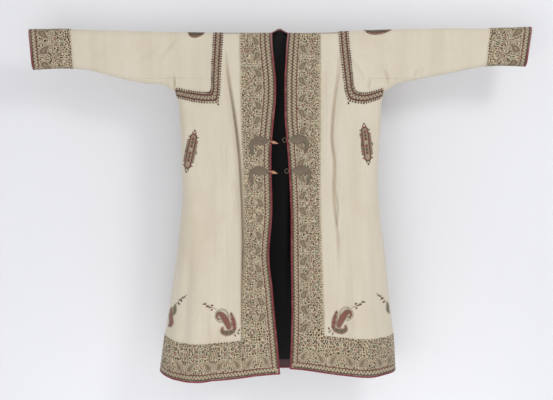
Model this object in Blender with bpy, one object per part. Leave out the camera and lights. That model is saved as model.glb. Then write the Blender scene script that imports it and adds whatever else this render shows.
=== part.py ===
"""An open robe of chapan cut in cream wool, with paisley borders, crimson piping and a black lining.

It is held up at the shoulders with its sleeves straight out and its fronts a little open. Metres, +Z up.
The fronts face -Y and +X is to the right of someone who looks at them. The origin is on the shoulder line
at the neck. A place on the robe is given by x and by its drop below the shoulder line.
"""

import bpy
import numpy as np

SEAM = 0.0003
CLOTH = 0.0016
BORDER = 0.0009
LINING = 0.0008
FACING_TALL = 0.026
HEM_BORDER = 0.120
CUFF_BORDER = 0.145
BAND = 0.032
PIPING_WIDE = 0.0052
PIPING_THICK = 0.0040
SEAM_DROP = 0.212
GORE_DROP = 0.160
GORE_ROWS = 5
GORE_TIP_SHARE = 0.7
GORE_GAP = 0.0010
UNDERARM_OUT = 0.364
UNDERARM_DROP = 0.203
EDGE_ROUND = 0.022
# Where a grid's lines lie on a rounded fold, in quarter rounds from its edge.
TOP_STEPS = np.array([0.0, 0.34, 0.67, 1.0])
SIDE_STEPS = np.array([0.0, 0.3, 0.6, 0.9])
# Shares of the way across a front border, across the back neck and down a gore.
BORDER_LINES = np.array([0, 0.24, 0.48, 0.72, 0.9, 1])
NECK_LINES = np.array([-1, -0.76, -0.4, 0, 0.4, 0.76, 1])
GORE_LINES = np.array([0, 0.35, 0.6, 0.8, 1])
FOLD_CLEAR = 0.018
NECK_HALF = 0.030
NECK_RISE = 0.012
SIDE_OF = {"left": -1.0, "right": 1.0}
FACE_OF = {"front": -1.0, "back": 1.0}


def table(names, *rows):
    """A table as a dictionary of columns. The first column holds the stations."""
    return {name: np.array(values) for name, values in zip(names.split(), zip(*rows))}


SIDE_SEAM = table(
    "drop left right",
    (0.203, 0.364, 0.364),
    (0.222, 0.357, 0.359),
    (0.320, 0.3445, 0.351),
    (0.504, 0.338, 0.342),
    (0.560, 0.336, 0.343),
    (0.657, 0.344, 0.352),
    (0.754, 0.354, 0.364),
    (0.852, 0.368, 0.374),
    (0.949, 0.381, 0.384),
    (1.046, 0.398, 0.395),
    (1.170, 0.414, 0.401),
)
UNDERSLEEVE = table(
    "out left right",
    (0.364, 0.203, 0.203),
    (0.388, 0.187, 0.188),
    (0.475, 0.174, 0.162),
    (0.537, 0.162, 0.150),
    (0.600, 0.146, 0.138),
    (0.662, 0.130, 0.126),
    (0.725, 0.1235, 0.115),
    (0.870, 0.1275, 0.116),
)
SHOULDER = table(
    "out left right",
    (0.000, 0.001, 0.001),
    (0.141, 0.000, 0.000),
    (0.238, -0.001, -0.006),
    (0.388, -0.004, -0.012),
    (0.600, -0.009, -0.0165),
    (0.725, -0.013, -0.0155),
    (0.880, -0.012, -0.0205),
)
ARMHOLE = table("drop left right", (0.0, 0.228, 0.245), (SEAM_DROP, 0.245, 0.262))
CUFF = table("drop left right", (-0.012, 0.864, 0.868), (0.128, 0.850, 0.847))
HEM = table(
    "out left right back",
    (0.000, 1.165, 1.147, 1.172),
    (0.080, 1.170, 1.152, 1.173),
    (0.200, 1.181, 1.163, 1.176),
    (0.275, 1.185, 1.168, 1.174),
    (0.360, 1.179, 1.165, 1.168),
    (0.415, 1.163, 1.159, 1.161),
)
FRONT_EDGE = table(
    "drop left right",
    (0.000, 0.0315, 0.0340),
    (0.024, 0.0315, 0.0315),
    (0.094, 0.0260, 0.0270),
    (0.163, 0.0190, 0.0235),
    (0.233, 0.0190, 0.0235),
    (0.302, 0.0255, 0.0245),
    (0.396, 0.0335, 0.0325),
    (0.629, 0.0315, 0.0445),
    (0.789, 0.0410, 0.0450),
    (0.872, 0.0315, 0.0465),
    (0.980, 0.0220, 0.0470),
    (1.077, 0.0125, 0.0445),
    (1.185, 0.0030, 0.0395),
)
BORDER_EDGE = table(
    "drop left right",
    (0.000, 0.1395, 0.1440),
    (0.310, 0.1335, 0.1436),
    (0.629, 0.1230, 0.1420),
    (0.900, 0.1290, 0.1500),
    (1.185, 0.1280, 0.1570),
)
# How far each face stands from the middle plane, and how far in from a side seam it reaches that.
FULLNESS = table(
    "drop front_edge front_swell back side_round",
    (0.000, 0.021, 0.021, 0.021, 0.022),
    (0.100, 0.026, 0.026, 0.024, 0.022),
    (0.210, 0.032, 0.036, 0.030, 0.024),
    (0.350, 0.040, 0.048, 0.040, 0.034),
    (0.550, 0.052, 0.064, 0.052, 0.050),
    (0.800, 0.072, 0.095, 0.070, 0.075),
    (1.000, 0.088, 0.125, 0.086, 0.095),
    (1.190, 0.100, 0.150, 0.100, 0.110),
)
SLEEVE_FULLNESS = 0.022
# The deep fold beside each front border: where it runs and how deep it is.
BORDER_FOLD = table(
    "drop left right left_deep right_deep",
    (0.050, 0.192, 0.212, 0.000, 0.000),
    (0.110, 0.184, 0.207, 0.005, 0.004),
    (0.268, 0.156, 0.186, 0.012, 0.009),
    (0.370, 0.1445, 0.180, 0.014, 0.009),
    (0.457, 0.136, 0.189, 0.015, 0.009),
    (0.537, 0.131, 0.186, 0.015, 0.009),
    (0.735, 0.125, 0.200, 0.013, 0.006),
    (0.860, 0.128, 0.197, 0.012, 0.000),
    (1.190, 0.129, 0.197, 0.008, 0.000),
)
FOLD_HALF = 0.013
# Long soft flutes of the skirt, ridges above 0 and troughs below: face, x where it starts, x at the hem,
# drop where it starts, height and half width.
FLUTES = (
    ("front", -0.262, -0.275, 0.62, 0.010, 0.040),
    ("front", -0.222, -0.226, 0.62, -0.006, 0.018),
    ("front", -0.300, -0.338, 0.62, -0.006, 0.020),
    ("front", 0.275, 0.300, 0.60, 0.010, 0.042),
    ("front", 0.325, 0.356, 0.60, -0.008, 0.022),
    ("back", -0.210, -0.260, 0.40, 0.012, 0.055),
    ("back", -0.060, -0.075, 0.45, -0.010, 0.040),
    ("back", 0.095, 0.120, 0.42, 0.010, 0.050),
    ("back", 0.250, 0.285, 0.50, -0.008, 0.035),
)
# A clasp is one braid shape: a leaf at the front edge that turns down into a hooked tail.
CLASP = table(
    "from_edge below half height",
    (0.004, 0.000, 0.0030, 0.0014),
    (0.014, 0.000, 0.0095, 0.0030),
    (0.031, 0.000, 0.0150, 0.0042),
    (0.046, -0.001, 0.0130, 0.0040),
    (0.058, 0.002, 0.0085, 0.0032),
    (0.064, 0.013, 0.0062, 0.0028),
    (0.063, 0.029, 0.0056, 0.0026),
    (0.058, 0.046, 0.0035, 0.0018),
)
CLASP_ROWS = {"upper": (0.378, 0.372), "lower": (0.481, 0.479)}
TOGGLE = table(
    "along radius",
    (0.0000, 0.0012),
    (0.0100, 0.0014),
    (0.0130, 0.0048),
    (0.0172, 0.0062),
    (0.0215, 0.0046),
    (0.0250, 0.0022),
    (0.0310, 0.0008),
)
LOOP_WIDE = 0.0070
LOOP_TALL = 0.0088
LOOP_CORD = 0.0012
COLOURS = {
    "cloth": ((0.66, 0.60, 0.47), 0.9),
    "border": ((0.27, 0.22, 0.16), 0.9),
    "piping": ((0.32, 0.03, 0.05), 0.6),
    "lining": ((0.006, 0.005, 0.005), 0.7),
    "facing": ((0.07, 0.005, 0.01), 0.7),
    "braid": ((0.22, 0.18, 0.13), 0.5),
    "toggle": ((0.58, 0.33, 0.23), 0.7),
}


def read(rows, name, at):
    """Reads a column at any station, smoothly. Past the table's ends its end values hold."""
    stations = next(iter(rows.values()))
    values = rows[name]
    slopes = np.gradient(values, stations)
    k = np.clip(np.searchsorted(stations, at) - 1, 0, len(stations) - 2)
    gap = stations[k + 1] - stations[k]
    t = np.clip((at - stations[k]) / gap, 0, 1)
    start = (1 + 2 * t) * (1 - t) ** 2 * values[k] + t * (1 - t) ** 2 * gap * slopes[k]
    return start + t * t * (3 - 2 * t) * values[k + 1] + t * t * (t - 1) * gap * slopes[k + 1]


def for_side(rows, x, at):
    """Reads the left column where x is below 0, and the right one elsewhere."""
    return np.where(x < 0, read(rows, "left", at), read(rows, "right", at))


def smooth_step(low, high, value):
    t = np.clip((value - low) / (high - low), 0, 1)
    return t * t * (3 - 2 * t)


def rounding(inside, radius):
    """A quarter round: 0 on an edge, 1 from one radius inside it."""
    s = np.clip(1 - inside / radius, 0, 1)
    return np.sqrt(1 - s * s)


def step_in(t, radius):
    """Distance in from an edge after t steps of a quarter round each, evenly spaced along the surface."""
    curved = radius * (1 - np.cos(np.minimum(t, 1) * np.pi / 2))
    return curved + np.maximum(t - 1, 0) * radius * np.pi / 2


def steps_to(inside, radius):
    """The number of steps that step_in needs for a distance."""
    curved = np.arccos(np.clip(1 - inside / radius, -1, 1)) * 2 / np.pi
    return np.where(inside < radius, curved, 1 + (inside - radius) / (radius * np.pi / 2))


def neck_share(x):
    """1 in the middle of the back neck, 0 outside the neck."""
    return 1 - smooth_step(0.4 * NECK_HALF, 1.1 * NECK_HALF, np.abs(x))


def top_drop(face, x):
    """The upper edge: the shoulder fold, and on the back the neck curve that stands a little above it."""
    rise = NECK_RISE * neck_share(x) if face == "back" else 0.0
    return for_side(SHOULDER, x, np.abs(x)) - rise


def stand_off(face, x, drop):
    """How far the cloth stands from the middle plane. It is 0 at the shoulder, side seam and undersleeve."""
    out = np.abs(x)
    top = rounding(drop - top_drop(face, x), EDGE_ROUND)
    if face == "back":
        top = top + (0.75 - top) * neck_share(x) * (top < 0.75)
    inside = np.maximum(for_side(UNDERSLEEVE, x, out) - drop, for_side(SIDE_SEAM, x, drop) - out)
    low = rounding(inside, read(FULLNESS, "side_round", drop))
    if face == "back":
        body = read(FULLNESS, "back", drop)
    else:
        share = np.clip((out / for_side(SIDE_SEAM, x, drop) - 0.08) / 0.6, 0, 1)
        swell = np.sin(share * np.pi / 2) ** 2
        edge, middle = read(FULLNESS, "front_edge", drop), read(FULLNESS, "front_swell", drop)
        body = edge + (middle - edge) * swell
        left, right = read(BORDER_FOLD, "left_deep", drop), read(BORDER_FOLD, "right_deep", drop)
        deep = np.where(x < 0, left, right)
        body = body - deep * np.exp(-(((out - for_side(BORDER_FOLD, x, drop)) / FOLD_HALF) ** 2))
    for where, x_start, x_hem, start, height, half in FLUTES:
        if where == face:
            down = np.clip((drop - start) / (HEM["back"][0] - start), 0, 1)
            centre = x_start + (x_hem - x_start) * down
            body = body + height * smooth_step(0, 0.6, down) * np.exp(-(((x - centre) / half) ** 2))
    in_sleeve = smooth_step(0.25, 0.42, out) * (1 - smooth_step(0.20, 0.34, drop))
    return (body * (1 - in_sleeve) + SLEEVE_FULLNESS * in_sleeve) * top * low


def points(face, x, drop):
    """Points on the outside of the cloth, half a seam clear of the middle plane."""
    y = FACE_OF[face] * (stand_off(face, x, drop) + SEAM / 2)
    return np.stack([x, y, -drop], axis=-1)


def normals(grid):
    """Outward directions at a grid's points, in the middle plane on an edge that meets the other face."""
    n = np.cross(np.gradient(grid, axis=0), np.gradient(grid, axis=1))
    n /= np.maximum(np.linalg.norm(n, axis=-1, keepdims=True), 1e-12)
    if (n[..., 1] * grid[..., 1]).sum() < 0:
        n = -n
    n[..., 1] = np.where(np.abs(grid[..., 1]) < 0.6 * SEAM, 0, n[..., 1])
    return n / np.maximum(np.linalg.norm(n, axis=-1, keepdims=True), 1e-12)


def add_object(name, finish, vertices, faces):
    """One closed piece with its own material."""
    mesh = bpy.data.meshes.new(name)
    mesh.from_pydata([tuple(v) for v in vertices], [], faces)
    colour, rough = COLOURS[finish]
    material = bpy.data.materials.new(name)
    material.use_nodes = True
    shader = material.node_tree.nodes["Principled BSDF"]
    shader.inputs["Base Color"].default_value = (*colour, 1)
    shader.inputs["Roughness"].default_value = rough
    mesh.materials.append(material)
    obj = bpy.data.objects.new(name, mesh)
    bpy.context.scene.collection.objects.link(obj)
    mesh.shade_smooth()
    mesh.set_sharp_from_angle(angle=0.6)
    return obj


def wall(name, finish, grid, lift, thick, keep=None):
    """A wall over a grid: lift is how far its outer side is above it. keep marks the cells that it has."""
    rows, columns = grid.shape[0] - 1, grid.shape[1] - 1
    keep = np.ones((rows, columns), bool) if keep is None else keep
    n = normals(grid)
    lift = np.broadcast_to(lift, grid.shape[:2])[..., None]
    thick = np.broadcast_to(thick, grid.shape[:2])[..., None]
    outer, inner = grid + n * lift, grid + n * (lift - thick)
    turned = (np.cross(np.gradient(grid, axis=0), np.gradient(grid, axis=1)) * n).sum() < 0
    index, vertices = {}, []

    def vertex(side, i, j):
        if (side, i, j) not in index:
            index[side, i, j] = len(vertices)
            vertices.append((outer, inner)[side][i, j])
        return index[side, i, j]

    faces = []
    for i, j in zip(*np.nonzero(keep)):
        ring = [(i, j), (i + 1, j), (i + 1, j + 1), (i, j + 1)]
        beside = [(i, j - 1), (i + 1, j), (i, j + 1), (i - 1, j)]
        # Both sides are split along the same diagonal, so that pieces which lie on each other stay clear.
        for half in (ring[:3], [ring[0], *ring[2:]]):
            faces.append([vertex(0, *p) for p in half])
            faces.append([vertex(1, *p) for p in reversed(half)])
        for k, (a, b) in enumerate(beside):
            if not (0 <= a < rows and 0 <= b < columns and keep[a, b]):
                p, q = ring[k], ring[(k + 1) % 4]
                faces.append([vertex(0, *q), vertex(0, *p), vertex(1, *p), vertex(1, *q)])
    if turned:
        faces = [face[::-1] for face in faces]
    return add_object(name, finish, vertices, faces)


def cord(name, finish, centres, across, upward, closed=False, sides=6):
    """A cord of oval section. across and upward are its half sizes as vectors, one pair for each centre."""
    angle = np.arange(sides) * 2 * np.pi / sides
    cosine, sine = np.cos(angle)[:, None], np.sin(angle)[:, None]
    rings = centres[:, None] + across[:, None] * cosine + upward[:, None] * sine
    count = len(centres)
    faces = []
    for i in range(count if closed else count - 1):
        for k in range(sides):
            a, b = i * sides, (i + 1) % count * sides
            faces.append([a + k, a + (k + 1) % sides, b + (k + 1) % sides, b + k])
    if not closed:
        faces.append(list(range(sides))[::-1])
        faces.append(list(range((count - 1) * sides, count * sides)))
    along = centres[1] - centres[0]
    if np.dot(np.cross(across[0], upward[0]), along) < 0:
        faces = [face[::-1] for face in faces]
    return add_object(name, finish, rings.reshape(-1, 3), faces)


def unit(v):
    return v / np.maximum(np.linalg.norm(v, axis=-1, keepdims=True), 1e-12)


def piping(name, edges, thick, gap=SEAM):
    """Piping along one or two edges that meet at a corner, each as points, outward directions and normals."""
    path, out, up = (np.concatenate([edge[k] for edge in edges]) for k in range(3))
    if len(edges) == 2:
        corner = len(edges[0][0]) - 1
        out[corner] = out[corner] + out[corner + 1]
        path, out, up = (np.delete(rows, corner + 1, axis=0) for rows in (path, out, up))
    centres = path + out * (PIPING_WIDE / 2 + gap) - up * thick / 2
    return cord(name, "piping", centres, out * PIPING_WIDE / 2, up * PIPING_THICK / 2)


def edge_of(grid, line, inner_line):
    """An edge of a grid as points, directions away from the cloth, and normals."""
    up = normals(grid)[line]
    out = unit(grid[line] - grid[inner_line])
    return grid[line], unit(out - up * (out * up).sum(-1, keepdims=True)), up


def front_grid(side):
    """A front: columns from the front edge to the side seam, rows from the shoulder to the hem.

    Returns the grid and the number of the row and column where the armhole's corner lies.
    """
    sign = SIDE_OF[side]
    yoke = np.linspace(0, 1, 5)[1:]
    skirt = np.linspace(0, 1, 11)[1:]
    at_hem = read(SIDE_SEAM, side, HEM["back"][0])

    def columns(drop, side_drop):
        """Distances out from the middle for one row's drop."""
        edge = read(FRONT_EDGE, side, drop)
        border = read(BORDER_EDGE, side, drop)
        arm = read(ARMHOLE, side, drop)
        seam = read(SIDE_SEAM, side, side_drop)
        reach = (seam - read(SIDE_SEAM, side, SEAM_DROP)) * 0.6
        arm = arm + np.where(drop > SEAM_DROP, reach, 0)
        inner = arm - BAND
        fold = np.clip(read(BORDER_FOLD, side, drop), border + FOLD_CLEAR, inner - FOLD_CLEAR)
        radius = read(FULLNESS, "side_round", side_drop)
        turn = seam - step_in(SIDE_STEPS, radius)[::-1]
        return np.concatenate(
            [
                edge + (border - edge) * BORDER_LINES,
                [(border + fold) / 2, fold, (fold + inner) / 2, inner, arm],
                [(2 * arm + turn[0]) / 3, (arm + 2 * turn[0]) / 3],
                turn,
            ]
        )

    corner = 10
    fold = read(SHOULDER, side, ARMHOLE[side][0])
    xs, drops = [], []
    for step in TOP_STEPS:
        row = columns(fold + step_in(step, EDGE_ROUND), SEAM_DROP)
        xs.append(row)
        drops.append(top_drop("front", sign * row) + step_in(step, EDGE_ROUND))
    first = fold + EDGE_ROUND
    for share in yoke:
        drop = first + (SEAM_DROP - first) * share
        row = columns(drop, SEAM_DROP)
        start = top_drop("front", sign * row) + EDGE_ROUND
        xs.append(row)
        drops.append(start + (SEAM_DROP - start) * share)
    seam_row = len(xs) - 1
    outward = np.clip((xs[-1] - xs[-1][corner]) / (xs[-1][-1] - xs[-1][corner]), 0, 1)
    drops[-1] = SEAM_DROP + (UNDERARM_DROP + 0.001 - SEAM_DROP) * outward
    hem = read(HEM, side, np.clip(xs[-1] / xs[-1][-1] * at_hem, 0, at_hem))
    levels = [drops[-1] + BAND]
    border_top = hem - HEM_BORDER
    levels += [levels[0] + (border_top - levels[0]) * share for share in skirt]
    levels += [border_top + (hem - border_top) * share for share in (1 / 3, 2 / 3, 1)]
    for level in levels:
        rows = np.array([columns(level[j], level[j])[j] for j in range(len(level))])
        xs.append(rows)
        drops.append(level)
    grid = points("front", sign * np.array(xs), np.array(drops))
    return grid, seam_row, corner


def back_grid():
    """The back: columns from the left side seam to the right one, rows from the shoulder to the hem."""
    middle = NECK_HALF * NECK_LINES

    def columns(down, side_drop):
        """Places across the back. down gives one row's drop at each side's armhole."""
        halves = []
        for side in ("left", "right"):
            drop = down(read(SHOULDER, side, ARMHOLE[side][0]))
            arm = read(ARMHOLE, side, drop)
            seam = read(SIDE_SEAM, side, side_drop)
            reach = (seam - read(SIDE_SEAM, side, SEAM_DROP)) * 0.6
            arm = arm + np.where(drop > SEAM_DROP, reach, 0)
            radius = read(FULLNESS, "side_round", side_drop)
            turn = seam - step_in(SIDE_STEPS, radius)[::-1]
            inner = arm - BAND
            fill = NECK_HALF + (inner - NECK_HALF) * np.array([1, 2, 3]) / 4
            halves.append(np.concatenate([fill, [inner, arm, (arm + turn[0]) / 2], turn]))
        return np.concatenate([-halves[0][::-1], middle, halves[1]])

    width = len(columns(lambda fold: fold, SEAM_DROP))
    corners = (4 + 1, width - 1 - (4 + 1))
    xs, drops = [], []
    for step in TOP_STEPS:
        row = columns(lambda fold: fold + step_in(step, EDGE_ROUND), SEAM_DROP)
        xs.append(row)
        drops.append(top_drop("back", row) + step_in(step, EDGE_ROUND))
    for share in (1 / 3, 2 / 3, 1):
        row = columns(lambda fold: (fold + EDGE_ROUND) * (1 - share) + SEAM_DROP * share, SEAM_DROP)
        start = top_drop("back", row) + EDGE_ROUND
        xs.append(row)
        drops.append(start + (SEAM_DROP - start) * share)
    seam_row = len(xs) - 1
    arms = np.where(xs[-1] < 0, -xs[-1][corners[0]], xs[-1][corners[1]])
    outward = np.clip((np.abs(xs[-1]) - arms) / (UNDERARM_OUT - arms), 0, 1)
    drops[-1] = SEAM_DROP + (UNDERARM_DROP + 0.001 - SEAM_DROP) * outward
    at_hem = for_side(SIDE_SEAM, xs[-1], HEM["back"][0])
    hem = read(HEM, "back", np.abs(xs[-1]) / UNDERARM_OUT * at_hem)
    # The side seams of the back end where those of the fronts do.
    ends = np.where(xs[-1] < 0, read(HEM, "left", at_hem), read(HEM, "right", at_hem))
    near_seam = smooth_step(0.8, 1.0, np.abs(xs[-1]) / UNDERARM_OUT)
    hem = hem * (1 - near_seam) + ends * near_seam
    levels = [drops[-1] + BAND]
    border_top = hem - HEM_BORDER
    skirt = np.linspace(0, 1, 10)[1:]
    levels += [levels[0] + (border_top - levels[0]) * share for share in skirt]
    levels += [border_top + (hem - FACING_TALL - border_top) * share for share in (0.5, 1)]
    levels.append(hem)
    for level in levels:
        xs.append(np.array([columns(lambda fold: level[j], level[j])[j] for j in range(width)]))
        drops.append(level)
    return points("back", np.array(xs), np.array(drops)), seam_row, corners


def gore_tip(side):
    """How far out the gore ends: where the undersleeve rises to the gore's upper seam."""
    stations = np.linspace(UNDERARM_OUT, UNDERSLEEVE["out"][-1], 800)
    return stations[np.argmin(np.abs(read(UNDERSLEEVE, side, stations) - GORE_DROP))]


def sleeve_grid(side):
    """A sleeve: rows from armhole to cuff, columns from the front's lower edge over the top to the back's.

    Returns the grid and the number of the row where the cuff border starts.
    """
    sign = SIDE_OF[side]
    tip = gore_tip(side)
    arm = ARMHOLE[side][0]
    cuff = CUFF[side][0]
    border = cuff - CUFF_BORDER
    upper_arm = np.linspace(arm, tip, GORE_ROWS + 1)
    lower_arm = np.linspace(tip, border, 4)[1:]
    stations = np.concatenate([upper_arm, lower_arm, np.linspace(border, cuff, 4)[1:]])
    rows = []
    for station in stations:
        halves = []
        for face in ("front", "back"):
            top = read(SHOULDER, side, station)
            under = read(UNDERSLEEVE, side, station)
            low = min(under, GORE_DROP - SEAM / 2) if station < tip - 1e-6 else under
            middle = (top + under) / 2
            half_steps = steps_to(middle - top, EDGE_ROUND)
            upper_steps = np.append(TOP_STEPS, [(1 + half_steps) / 2, half_steps])
            upper = top + step_in(upper_steps, EDGE_ROUND)
            start = steps_to(under - low, EDGE_ROUND)
            lower_steps = start + (half_steps - start) * np.array([0.12, 0.24, 0.36, 0.65])
            lower = under - step_in(np.concatenate([[start], lower_steps]), EDGE_ROUND)
            drop = np.concatenate([upper, lower[::-1]])
            # A station leans from the armhole's slope to the cuff's.
            arm_lean = read(ARMHOLE, side, drop) + SEAM / 2 - ARMHOLE[side][0]
            cuff_lean = read(CUFF, side, drop) - CUFF[side][0]
            share = (station - arm) / (cuff - arm)
            out = station + arm_lean * (1 - share) ** 2 + cuff_lean * share**2
            halves.append(points(face, sign * out, drop))
        rows.append(np.concatenate([halves[0][::-1], halves[1]]))
    return np.array(rows), GORE_ROWS + len(lower_arm)


def gore_grid(side, face, sleeve):
    """Half of an underarm gore, from the sleeve's lower edge to the armhole band and the undersleeve."""
    sign = SIDE_OF[side]
    tip = gore_tip(side)
    arm = ARMHOLE[side][0]
    edge = sleeve[:, 0] if face == "front" else sleeve[:, -1]
    rows = []
    for number in range(GORE_ROWS + 1):
        edge_out, edge_drop = abs(edge[number][0]), -edge[number][2]
        under = read(UNDERSLEEVE, side, max(edge_out, UNDERARM_OUT))
        low = under
        if edge_out < UNDERARM_OUT:
            arm_foot = ARMHOLE[side][-1]
            share = np.clip((edge_out - arm_foot) / (UNDERARM_OUT - arm_foot), 0, 1)
            low = SEAM_DROP + (UNDERARM_DROP - SEAM_DROP) * share - GORE_GAP
        start = steps_to(max(under - edge_drop - GORE_GAP, 0), EDGE_ROUND)
        end = steps_to(max(under - low, 0), EDGE_ROUND) if edge_out > UNDERARM_OUT else None
        if end is None:
            drop = edge_drop + GORE_GAP + (low - edge_drop - GORE_GAP) * GORE_LINES
        else:
            drop = under - step_in(start + (end - start) * GORE_LINES, EDGE_ROUND)
        out = np.full(len(GORE_LINES), edge_out)
        if number == 0:
            out = read(ARMHOLE, side, drop) + 2 * SEAM
        rows.append(points(face, sign * out, drop))
    rows = np.array(rows)
    # The last row would be a point at the tip, so the gore stops a little before it.
    rows[-1] = rows[-2] + (rows[-1] - rows[-2]) * GORE_TIP_SHARE
    return rows


def on_panel(grid, out, drop, lift):
    """Points above a front panel's own facets, at distances out from the middle and drops."""
    n = normals(grid)
    found = []
    for o, d in zip(np.atleast_1d(out), np.atleast_1d(drop)):
        columns = 6
        drops = -grid[:, :columns, 2].mean(axis=1)
        i = int(np.clip(np.searchsorted(drops, d) - 1, 0, len(drops) - 2))
        s = (d - drops[i]) / (drops[i + 1] - drops[i])
        row = grid[i] * (1 - s) + grid[i + 1] * s
        row_n = n[i] * (1 - s) + n[i + 1] * s
        outs = np.abs(row[:, 0])
        j = int(np.clip(np.searchsorted(outs[:columns], o) - 1, 0, columns - 2))
        t = (o - outs[j]) / (outs[j + 1] - outs[j])
        found.append(row[j] * (1 - t) + row[j + 1] * t + (row_n[j] * (1 - t) + row_n[j + 1] * t) * lift)
    return np.array(found)


def clasp(side, row, grid):
    """A braid pad with its tail, and the toggle or the loop at its tip."""
    sign = SIDE_OF[side]
    drop = CLASP_ROWS[row][side == "right"]
    edge = float(read(FRONT_EDGE, side, drop))
    outs, drops = edge + CLASP["from_edge"], drop + CLASP["below"]
    along = unit(np.stack([np.gradient(outs), np.gradient(drops)], axis=-1))
    shares = np.array([-1.0, -0.6, 0.0, 0.6, 1.0])
    base = SEAM + BORDER + 2 * SEAM
    lower, upper = [], []
    for k in range(len(outs)):
        out = outs[k] + along[k, 1] * shares * CLASP["half"][k]
        low = drops[k] - along[k, 0] * shares * CLASP["half"][k]
        lower.append(on_panel(grid, out, low, base))
        rise = 0.0006 + CLASP["height"][k] * np.sqrt(1 - 0.96 * shares**2)
        upper.append([on_panel(grid, [o], [d], base + r)[0] for o, d, r in zip(out, low, rise)])
    lower, upper = np.array(lower), np.array(upper)
    rows, columns = len(outs), len(shares)
    number = np.arange(2 * rows * columns).reshape(2, rows, columns)
    faces = []
    for i in range(rows - 1):
        for j in range(columns - 1):
            ring = [(i, j), (i + 1, j), (i + 1, j + 1), (i, j + 1)]
            faces.append([number[1][p] for p in ring])
            faces.append([number[0][p] for p in reversed(ring)])
        for j, flip in ((0, False), (columns - 1, True)):
            face = [number[1, i, j], number[0, i, j], number[0, i + 1, j], number[1, i + 1, j]]
            faces.append(face[::-1] if flip else face)
    for i, flip in ((0, True), (rows - 1, False)):
        for j in range(columns - 1):
            face = [number[1, i, j], number[0, i, j], number[0, i, j + 1], number[1, i, j + 1]]
            faces.append(face[::-1] if flip else face)
    seen = np.cross(upper[1, 2] - upper[0, 2], upper[0, 3] - upper[0, 2])
    if seen[1] > 0:
        faces = [face[::-1] for face in faces]
    add_object(f"clasp_{row}_{side}", "braid", np.concatenate([lower, upper]).reshape(-1, 3), faces)
    tip = on_panel(grid, [edge], [drop], 0)[0]
    inward = np.array([-sign, 0.0, 0.0])
    forward = np.array([0.0, -1.0, 0.0])
    if side == "left":
        # The toggle's neck starts on the pad's tip and passes over the piping.
        aim = unit(inward + np.array([0, 0.06, -0.28]))
        start = on_panel(grid, [edge + 0.0035], [drop], 0)[0] + forward * 0.0048
        second = unit(np.cross(aim, forward))
        centres = start + TOGGLE["along"][:, None] * aim
        third = np.cross(aim, second)
        radius = TOGGLE["radius"][:, None]
        cord(f"toggle_{row}", "toggle", centres, second * radius, third * radius, sides=8)
    else:
        reach = PIPING_WIDE + 2 * SEAM + LOOP_WIDE + LOOP_CORD
        centre = tip + inward * reach + forward * -CLOTH / 2 + np.array([0, 0, -0.002])
        angle = np.arange(12) * np.pi / 6
        spokes = np.stack([np.cos(angle) * LOOP_WIDE, 0 * angle, np.sin(angle) * LOOP_TALL], axis=-1)
        outward = unit(spokes) * LOOP_CORD
        upward = np.tile(forward * LOOP_CORD, (12, 1))
        cord(f"loop_{row}", "braid", centre + spokes, outward, upward, closed=True, sides=5)


def cells(grid, row_range, column_range):
    """Marks a block of a grid's cells."""
    keep = np.zeros((grid.shape[0] - 1, grid.shape[1] - 1), bool)
    keep[slice(*row_range), slice(*column_range)] = True
    return keep


def front(side):
    """A front with its borders, its armhole band, its piping and its clasps."""
    grid, seam_row, corner = front_grid(side)
    rows, columns = grid.shape[0] - 1, grid.shape[1] - 1
    border_columns = 5
    hem_row = rows - 3
    cloth = cells(grid, (seam_row, rows), (0, columns)) | cells(grid, (0, seam_row), (0, corner))
    wall(f"front_{side}", "cloth", grid, 0, CLOTH, cloth)
    lift = SEAM + BORDER
    wall(f"border_front_{side}", "border", grid, lift, BORDER, cells(grid, (0, rows), (0, border_columns)))
    seamed = grid.copy()
    seamed[:, border_columns] += unit(grid[:, border_columns + 1] - grid[:, border_columns]) * SEAM
    hem_cells = cells(grid, (hem_row, rows), (border_columns, columns))
    wall(f"border_hem_{side}", "border", seamed, lift, BORDER, hem_cells)
    upright = cells(grid, (0, seam_row + 1), (corner - 1, corner))
    band = upright | cells(grid, (seam_row, seam_row + 1), (corner, columns))
    wall(f"band_front_{side}", "border", grid, lift, BORDER, band)
    front_edge = edge_of(grid, (slice(None), 0), (slice(None), 1))
    hem_edge = edge_of(grid, (-1, slice(None)), (-2, slice(None)))
    piping(f"piping_front_{side}", [front_edge, hem_edge], CLOTH - SEAM - BORDER)
    for row in ("upper", "lower"):
        clasp(side, row, grid)


def back():
    """The back with its hem border, armhole bands, lining, facing and piping."""
    grid, seam_row, corners = back_grid()
    rows, columns = grid.shape[0] - 1, grid.shape[1] - 1
    first, last = corners
    cloth = cells(grid, (seam_row, rows), (0, columns)) | cells(grid, (0, seam_row), (first, last))
    wall("back", "cloth", grid, 0, CLOTH, cloth)
    lift = SEAM + BORDER
    wall("border_hem_back", "border", grid, lift, BORDER, cells(grid, (rows - 3, rows), (0, columns)))
    for side, upright, foot in (
        ("left", (first, first + 1), (0, first)),
        ("right", (last - 1, last), (last, columns)),
    ):
        band = cells(grid, (0, seam_row + 1), upright) | cells(grid, (seam_row, seam_row + 1), foot)
        wall(f"band_back_{side}", "border", grid, lift, BORDER, band)
    inside = -CLOTH - SEAM
    lined = cells(grid, (seam_row, rows - 1), (0, columns)) | cells(grid, (0, seam_row), (first, last))
    wall("lining_back", "lining", grid, inside, LINING, lined)
    seamed = grid.copy()
    seamed[-2] += unit(grid[-1] - grid[-2]) * SEAM
    wall("facing_back", "facing", seamed, inside, LINING, cells(grid, (rows - 1, rows), (0, columns)))
    piping("piping_hem_back", [edge_of(grid, (-1, slice(None)), (-2, slice(None)))], CLOTH)
    neck = slice(columns // 2 - 2, columns // 2 + 3)
    path, out, up = edge_of(grid, (0, neck), (1, neck))
    piping("binding_neck", [(path, out, up)], CLOTH, gap=3 * SEAM)


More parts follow.
